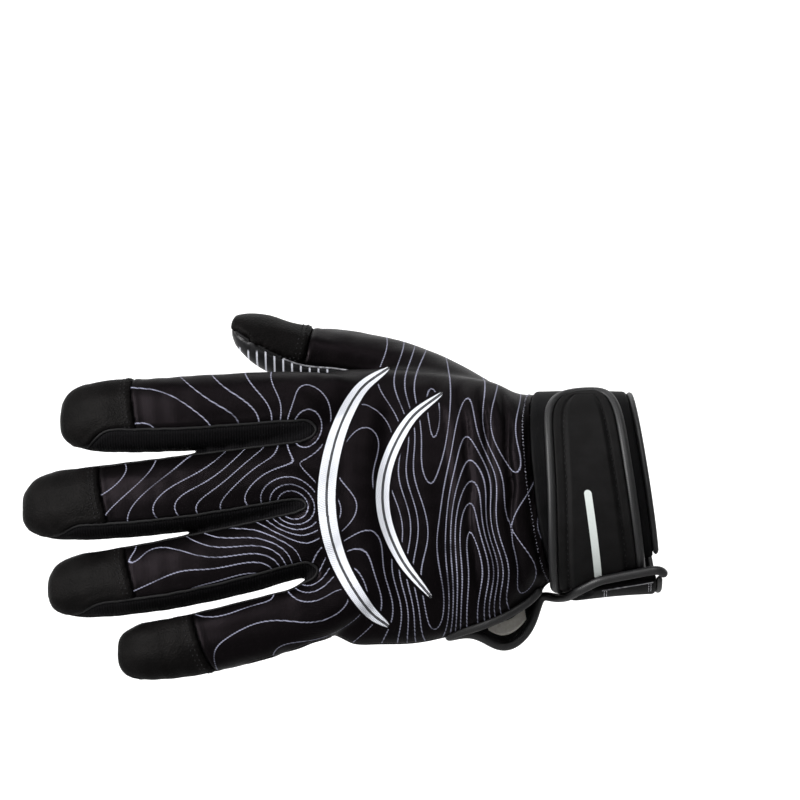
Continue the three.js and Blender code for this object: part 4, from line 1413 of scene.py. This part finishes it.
def roll_recipe():
    """A round rolled edge or cord along lines, with its place on the cloth in millimetres."""
    r = Recipe("rolled_edge", Radius="Float", Material="Material")
    line = r.node("GeometryNodeMeshToCurve", inputs={"Mesh": r.given["Geometry"]})
    reach = r.node("GeometryNodeSplineParameter", output="Length")
    line = r.store(line, "reach", r.math("DIVIDE", reach, MM))
    ring = r.node("GeometryNodeCurvePrimitiveCircle", inputs={"Resolution": 8, "Radius": r.given["Radius"]})
    reach = r.node("GeometryNodeSplineParameter", output="Length")
    ring = r.store(ring, "turn", r.math("DIVIDE", reach, MM))
    body = r.node("GeometryNodeCurveToMesh", inputs={"Curve": line, "Profile Curve": ring, "Fill Caps": True})
    place = r.node("ShaderNodeCombineXYZ", inputs={0: r.read("reach"), 1: r.read("turn")})
    r.end(r.store(body, "weave", place, "FLOAT2", "CORNER"))
    return r


STITCHES, ROLL = stitch_recipe(), roll_recipe()


def ground_of(form):
    """A function that gives the skin's outward direction at points near it."""
    normals = form.normals()
    tree = KDTree(len(form.points))
    for k, p in enumerate(form.points):
        tree.insert(p, k)
    tree.balance()
    return lambda points: normals[[tree.find(p)[1] for p in points]]


def sewn(name, made):
    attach(made, "root")


def sew(name, lines, ground, material, length, thickness, pitch, lift=0.0, sway=0.0):
    """Rows of stitches along lines, each from one point of its line to the next, in millimetres."""
    places, runs, outs = [], [], []
    for line in lines:
        if length_of(line) < 3 * pitch:
            continue
        points = resample(line, pitch)
        out = ground(points)
        side = unit(np.cross(out, np.gradient(points, axis=0)))
        turns = np.where(np.arange(len(points)) % 2, sway, -sway)
        points = points + lift * out + turns[:, None] * side
        places.append((points[1:] + points[:-1]) / 2)
        runs.append(unit(np.diff(points, axis=0)))
        outs.append(unit(out[1:] + out[:-1]))
    vectors = {"run": np.concatenate(runs), "out": np.concatenate(outs)}
    made = STITCHES.make(name, np.concatenate(places), vectors=vectors, Length=length * MM,
                         Thickness=thickness * MM, Uneven=0.18, Material=material)
    sewn(name, made)


def roll(name, lines, ground, material, radius, lift=0.0, step=0.9):
    """Rolled edges or cords along lines on the skin."""
    points, edges, start = [], [], 0
    for line in lines:
        line = resample(line, step)
        points.append(line + lift * ground(line))
        edges += [(start + k, start + k + 1) for k in range(len(line) - 1)]
        start += len(line)
    made = ROLL.make(name, np.concatenate(points), edges, Radius=radius * MM, Material=material)
    sewn(name, made)


def runs_where(line, chosen):
    """The stretches of a line whose points are chosen."""
    starts = np.flatnonzero(np.diff(chosen.astype(int))) + 1
    return [part for part, own in zip(np.split(line, starts), np.split(chosen, starts)) if own[0] and len(part) > 4]


CAP_ROWS = (2.0, 3.6)
PIPING_RADIUS = 0.5
RAW_RADIUS = 0.3
RAW_SHORTEST = 20.0


def sew_hand(form, label, keep, seams):
    """The double rows on the caps, the cuff's zigzag, the piping and the raw edges."""
    ground = ground_of(form)
    rows = []
    for reach in CAP_ROWS:
        for name in [*FINGERS, "thumb"]:
            found = contour(form, form.values["cap"] - reach, keep & (label == f"{name}_cap"))
            rows += [soften(line, 3) for line in found if length_of(line) > 5]
    sew("cap_stitches", rows, ground, DARK_THREAD, 1.35, 0.55, 1.8, lift=CAP_PROUD + 0.05)
    found = contour(form, form.values["wrist"] - 2.0, keep & (label == "back_panel"))
    rows = [soften(line, 8) for line in found if length_of(line) > 8]
    sew("cuff_seam_stitches", rows, ground, PALE_THREAD, 1.75, 0.36, 1.2, lift=0.05, sway=0.6)
    piped, raw = [], []
    for (one, other), lines in seams.items():
        on_side = one.startswith("side") or other.startswith("side")
        for line in lines:
            pale = np.full(len(line), not on_side and "palm_panel" in (one, other))
            pale &= ((line[:, 0] < -119) | (line[:, 2] > 33)) & (length_of(line) > RAW_SHORTEST)
            raw += runs_where(line, pale)
            if on_side or one == "back_panel" and other == "palm_panel":
                piped += runs_where(line, ~pale)
    roll("finger_piping", piped, ground, SEAM_CORD, PIPING_RADIUS, lift=-0.12)
    roll("raw_edges", raw, ground, RAW_EDGE, RAW_RADIUS, lift=-0.05)


# Cuff, strap and bindings

CUFF_IN = CUFF_PROUD - CUFF_WALL
STRAP_OUT = CUFF_PROUD + GAP + BINDING_RADIUS - STRAP_WALL / 2
OVER_STRAP = STRAP_OUT + STRAP_WALL / 2 + BINDING_RADIUS + GAP
CUFF_START = 148.0
CUFF_END = -190.0
STRAP_START = 198.0
STRAP_END = 26.0
FLAP_START = -156.0


def cuff_rise(degrees):
    return (OVER_STRAP - CUFF_IN) * smooth(-degrees, 100, 142)


def cuff_far(degrees, out):
    far = seam_distance(wrist_point(0, degrees, out)[..., 1]) - 0.1
    return lerp(far, CUFF_LENGTH * 0.62, smooth(-degrees, -FLAP_START, -CUFF_END))


def flap_lean(distance):
    """How much further on to the back the flap's end comes, nearer the opening."""
    return -FLAP_TURN * (1 - distance / CUFF_LENGTH)


def cuff_turn(degrees, distance):
    return flap_lean(distance) * smooth(-degrees, -FLAP_START, -CUFF_END)


def slab(across_count, near, far, low, high, radius):
    """A flat section with rounded long edges: shares along it, its distances and its heights."""
    turns = np.radians(np.linspace(90, -90, 9))
    across = np.linspace(0, 1, across_count)
    thick = high - low
    radius = min(radius, thick / 2)
    top = np.stack([lerp(near + radius, far - radius, across), np.full(across_count, high)], 1)
    end = np.stack([far - radius + radius * np.cos(turns), (low + high) / 2 + thick / 2 * np.sin(turns)], 1)
    low_face = np.stack([top[::-1, 0], np.full(across_count, low)], 1)
    start = np.stack([near + radius - radius * np.cos(turns[::-1]),
                      (low + high) / 2 + thick / 2 * np.sin(turns[::-1])], 1)
    return np.concatenate([top, end[1:-1], low_face, start[1:-1]])


def wrap(degrees, section, turn=None):
    """A band round the wrist through sections, with its place on the cloth in millimetres."""
    rings, places, reach = [], [], 0.0
    last = None
    for angle in degrees:
        rows = section(angle)
        turned = turn(angle, rows[:, 0]) if turn else 0
        ring = wrist_point(rows[:, 0], angle + turned, rows[:, 1])
        if last is not None:
            reach += np.linalg.norm(ring[0] - last)
        last = ring[0]
        rings.append(ring)
        places.append(np.stack([rows[:, 0], np.full(len(rows), reach)], 1))
    made = skin(np.array(rings))
    flat = np.concatenate(places)
    made.values["weave"] = np.concatenate([flat, [places[0].mean(0), places[-1].mean(0)]])
    return made


def piece(name, surface, material, slot, *nodes):
    made = thing(name, surface.mesh(name), material)
    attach(made, "root")
    if nodes:
        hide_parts(*nodes)
    return made


def cuff():
    def section(angle):
        rise = float(cuff_rise(angle))
        high = CUFF_IN + rise + CUFF_WALL
        far = float(cuff_far(angle, high))
        rows = slab(26, 2 * EDGE_RADIUS, far, CUFF_IN + rise, high, 1.3)
        share = (rows[:, 0] - 2 * EDGE_RADIUS) / (far - 2 * EDGE_RADIUS)
        rows[:, 1] += 0.35 * np.sin(np.pi * np.clip(share, 0, 1)) * np.sin(math.radians(angle) * 5 + 2 * share)
        return rows
    made = wrap(np.linspace(CUFF_START, CUFF_END, 240), section, cuff_turn)
    piece("cuff_cloth", made, NEOPRENE, "neoprene", "cuff_band")
    degrees = np.linspace(CUFF_START, CUFF_END, 86)
    turned = degrees + cuff_turn(degrees, EDGE_RADIUS)
    line = wrist_point(EDGE_RADIUS, turned, CUFF_IN + cuff_rise(degrees) + CUFF_WALL / 2)
    piece("cuff_edge_tape", tube(line, EDGE_RADIUS), BINDING, "binding", "cuff_edge")


def strap_edges(degrees, inset):
    reach = (degrees - STRAP_END) * math.pi * WRIST_WIDTH / 360 - inset
    share = np.clip(1 - reach / STRAP_TAPER, 0, 1)
    width = lerp(STRAP_TIP_WIDTH, STRAP_WIDTH, smooth(degrees, 40, 160))
    rounding = (1 - np.sqrt(1 - share**3)) * (width - 2 * inset)
    narrow = ROOT_NARROW * smooth(degrees, 172, STRAP_START)
    return STRAP_INSET + inset + rounding * TAB_NEAR, STRAP_INSET + width - inset - rounding * TAB_FAR - narrow


STRAP_MARGIN = 4.6
STRAP_PAD = 0.9


def strap():
    trim = 2 * BINDING_RADIUS - 0.2
    start = STRAP_END + trim * 360 / (math.pi * WRIST_WIDTH)
    shares = np.linspace(0, 1, 200) ** 1.5
    count = 60

    def section(angle):
        near, far = strap_edges(angle, trim)
        rows = slab(count, near, far, STRAP_OUT, STRAP_OUT + STRAP_WALL, 0.9)
        top = rows[:, 1] > STRAP_OUT + STRAP_WALL / 2
        to_edge = np.minimum(rows[:, 0] - near, far - rows[:, 0])
        to_tip = (angle - start) * math.pi * WRIST_WIDTH / 360
        to_edge = np.minimum(to_edge, to_tip)
        pad = STRAP_PAD * smooth(to_edge, STRAP_MARGIN - 0.7, STRAP_MARGIN + 0.9)
        dent = 0.35 * np.exp(-(((to_edge - STRAP_MARGIN + 0.9) / 0.5) ** 2))
        rows[:, 1] += np.where(top, pad - dent, 0)
        return rows
    made = wrap(start + (STRAP_START - start) * shares, section)
    piece("wrist_strap_cloth", made, STRAP_FACE, "neoprene", "wrist_strap")
    middle = STRAP_OUT + STRAP_WALL / 2
    turns = np.concatenate([np.linspace(STRAP_START, 60, 60), np.linspace(58, STRAP_END + 3, 40)])
    near = wrist_point(strap_edges(turns, BINDING_RADIUS)[0], turns, middle)
    far = wrist_point(strap_edges(turns, BINDING_RADIUS)[1], turns, middle)
    tip_near, tip_far = strap_edges(np.array(STRAP_END + 3), BINDING_RADIUS)
    tip = wrist_point((tip_near + tip_far) / 2, STRAP_END + 2.5, middle)
    line = soften(resample(np.concatenate([near, [tip], far[::-1]]), 0.8), 6)
    piece("strap_binding_tape", tube(line, BINDING_RADIUS, 14), BINDING, "binding", "strap_binding")
    inset = STRAP_MARGIN - 0.9
    tip_turn = start + inset * 360 / (math.pi * WRIST_WIDTH)
    turns = np.linspace(170, tip_turn + 2, 120)
    near, far = strap_edges(turns, trim + inset)
    height = STRAP_OUT + STRAP_WALL - 0.2
    line = np.concatenate([wrist_point(near, turns, height), wrist_point(far, turns, height)[::-1]])
    sew("strap_stitches", [soften(resample(line, 0.8), 4)], outward, DARK_THREAD, 1.9, 0.5, 2.3)


def outward(points):
    return unit(points * np.array([0.0, 1.0, 1.0]))


def slit_edges():
    """The binding from the cuff up the slit's back edge, down the palm's lip and along the flap."""
    top = SLIT_REACH / PALM_LENGTH
    out = KNIT_WALL / 2 - 0.3
    shares = 1 - np.linspace(0.97, 0.0, 30)[:-1] ** 2
    up = palm_point(shares * top, slit_angles(shares * top)[0], out)
    down = palm_point(shares[::-1] * top, slit_angles(shares[::-1] * top)[1], out)
    edge = OVER_STRAP + CUFF_WALL / 2
    spread = (BINDING_RADIUS + GAP) * 360 / (math.pi * WRIST_DEPTH)
    turns = np.array([-166.0, -176.0, -186.0])
    beyond = cuff_far(turns, edge) + 2.7 * BINDING_RADIUS
    rise = lerp(CUFF_PROUD, edge, smooth(-turns, 146, 165))
    over = wrist_point(beyond, turns + cuff_turn(turns, beyond) - spread / 2, rise)
    down_flap = np.array([0.55, 0.38, 0.2, 0.05]) * CUFF_LENGTH
    flap = wrist_point(down_flap, CUFF_END + flap_lean(down_flap) - spread - 3, edge)
    corner_turn = CUFF_END + flap_lean(0)
    round_corner = np.array([wrist_point(0.2, corner_turn - spread - 1.5, edge),
                             wrist_point(-1.0, corner_turn + 1.0, edge - 0.6)])
    whole = np.concatenate([up, palm_point([top], 180, out), down, over, flap, round_corner])
    line = soften(resample(whole, 0.8), 10)
    piece("slit_binding_tape", tube(line, BINDING_RADIUS, 14), BINDING, "binding", "slit_binding")
    to_degrees = 360 / (math.pi * WRIST_DEPTH)
    lip = palm_point(shares * top, slit_angles(shares * top)[1] + 2.6 * to_degrees, 0.15)[8:]
    flap_out = OVER_STRAP + CUFF_WALL
    across = np.linspace(0.14, 0.86, 24) * cuff_far(np.array(CUFF_END), edge)
    hem = wrist_point(across, CUFF_END + flap_lean(across) + 0.5 * to_degrees, flap_out)
    rows = [lip]
    for end in (across[1], across[2], across[-3], across[-2]):
        turns = CUFF_END + flap_lean(end) + np.linspace(0.8, 6.0, 8) * to_degrees
        rows.append(wrist_point(end, turns, flap_out))
    sew("slit_stitches", rows, outward, WHITE_THREAD, 1.3, 0.34, 1.5)
    roll("flap_hem", [hem], outward, RAW_EDGE, 0.25)


LABEL_LENGTH = 14.0


def size_label():
    along = np.linspace(0.105, 0.105 + LABEL_LENGTH / PALM_LENGTH, 14)
    turns = np.linspace(208, 219, 16)
    rings = []
    for a in along:
        outer = palm_point(a, turns, -KNIT_WALL - GAP)
        inner = palm_point(a, turns[::-1], -KNIT_WALL - GAP - LABEL_WALL)
        rings.append(np.concatenate([outer, inner]))
    made = skin(np.array(rings))
    made.values["weave"] = made.points[:, [0, 2]]
    piece("size_label_cloth", made, LABEL, "label", "size_label")


sew_hand(*dress_hand())
cuff()
strap()
slit_edges()
size_label()


# Stage, light and camera

PIXEL = 0.355 * MM
IMAGE = 800
CAMERA_AWAY = 1.065
CAMERA_AT = (-0.0873, 0.0312)
LENS = 135.0
SENSOR = 36.0


def camera():
    data = bpy.data.cameras.new("camera")
    data.lens, data.sensor_width = LENS, SENSOR
    made = bpy.data.objects.new("camera", data)
    bpy.context.scene.collection.objects.link(made)
    made.location = (CAMERA_AT[0], -CAMERA_AWAY, CAMERA_AT[1])
    made.rotation_euler = (math.pi / 2, 0, 0)
    bpy.context.scene.camera = made


def area_light(name, place, target, size, power, colour=(1, 1, 1)):
    data = bpy.data.lights.new(name, "AREA")
    data.shape, data.size, data.energy, data.color = "DISK", size, power, colour
    made = bpy.data.objects.new(name, data)
    bpy.context.scene.collection.objects.link(made)
    made.location = place
    made.rotation_mode = "QUATERNION"
    made.rotation_quaternion = (Vector(target) - Vector(place)).to_track_quat("-Z", "Y")


def stage():
    """A pale round floor that curves up into a pale wall all round."""
    fillet, radius, floor, top, sides = 0.5, 1.7, -0.24, 2.4, 96
    turns = np.radians(np.linspace(0, 90, 16))
    profile = np.concatenate([[[0.4, floor]],
                              np.stack([radius - fillet + fillet * np.sin(turns),
                                        floor + fillet - fillet * np.cos(turns)], 1),
                              [[radius, top]]])
    around = np.arange(sides) * 2 * math.pi / sides
    points = [(0.0, 0.0, floor)]
    points += [(r * math.cos(a), r * math.sin(a), z) for r, z in profile for a in around]
    faces = [(0, 1 + k, 1 + (k + 1) % sides) for k in range(sides)]
    for row in range(len(profile) - 1):
        low, high = 1 + row * sides, 1 + (row + 1) * sides
        faces += [(low + k, high + k, high + (k + 1) % sides, low + (k + 1) % sides) for k in range(sides)]
    mesh = bpy.data.meshes.new("backdrop")
    mesh.from_pydata(points, [], faces)
    mesh.polygons.foreach_set("use_smooth", np.ones(len(faces), bool))
    # The paper glows: painted light, brighter on the wall behind the glove.
    paper = plain_stage("glowing_pale_paper", (0.42, 0.42, 0.42), 0.55, 0.95)
    backdrop = thing("backdrop", mesh, paper)


def light():
    target = (-0.09, 0, 0)
    area_light("key", (-1.2, -0.55, 0.45), target, 0.35, 26)
    area_light("fill", (-0.05, -0.85, 1.15), target, 0.8, 12)
    area_light("rim", (-0.2, 0.4, 0.95), target, 0.5, 2.5)
    world = bpy.data.worlds.new("studio")
    bpy.context.scene.world = world
    world.use_nodes = True
    background = world.node_tree.nodes["Background"]
    background.inputs["Color"].default_value = (0.9, 0.92, 0.95, 1)
    background.inputs["Strength"].default_value = 0.13


camera()
stage()
light()
bpy.context.scene.view_settings.view_transform = "Standard"
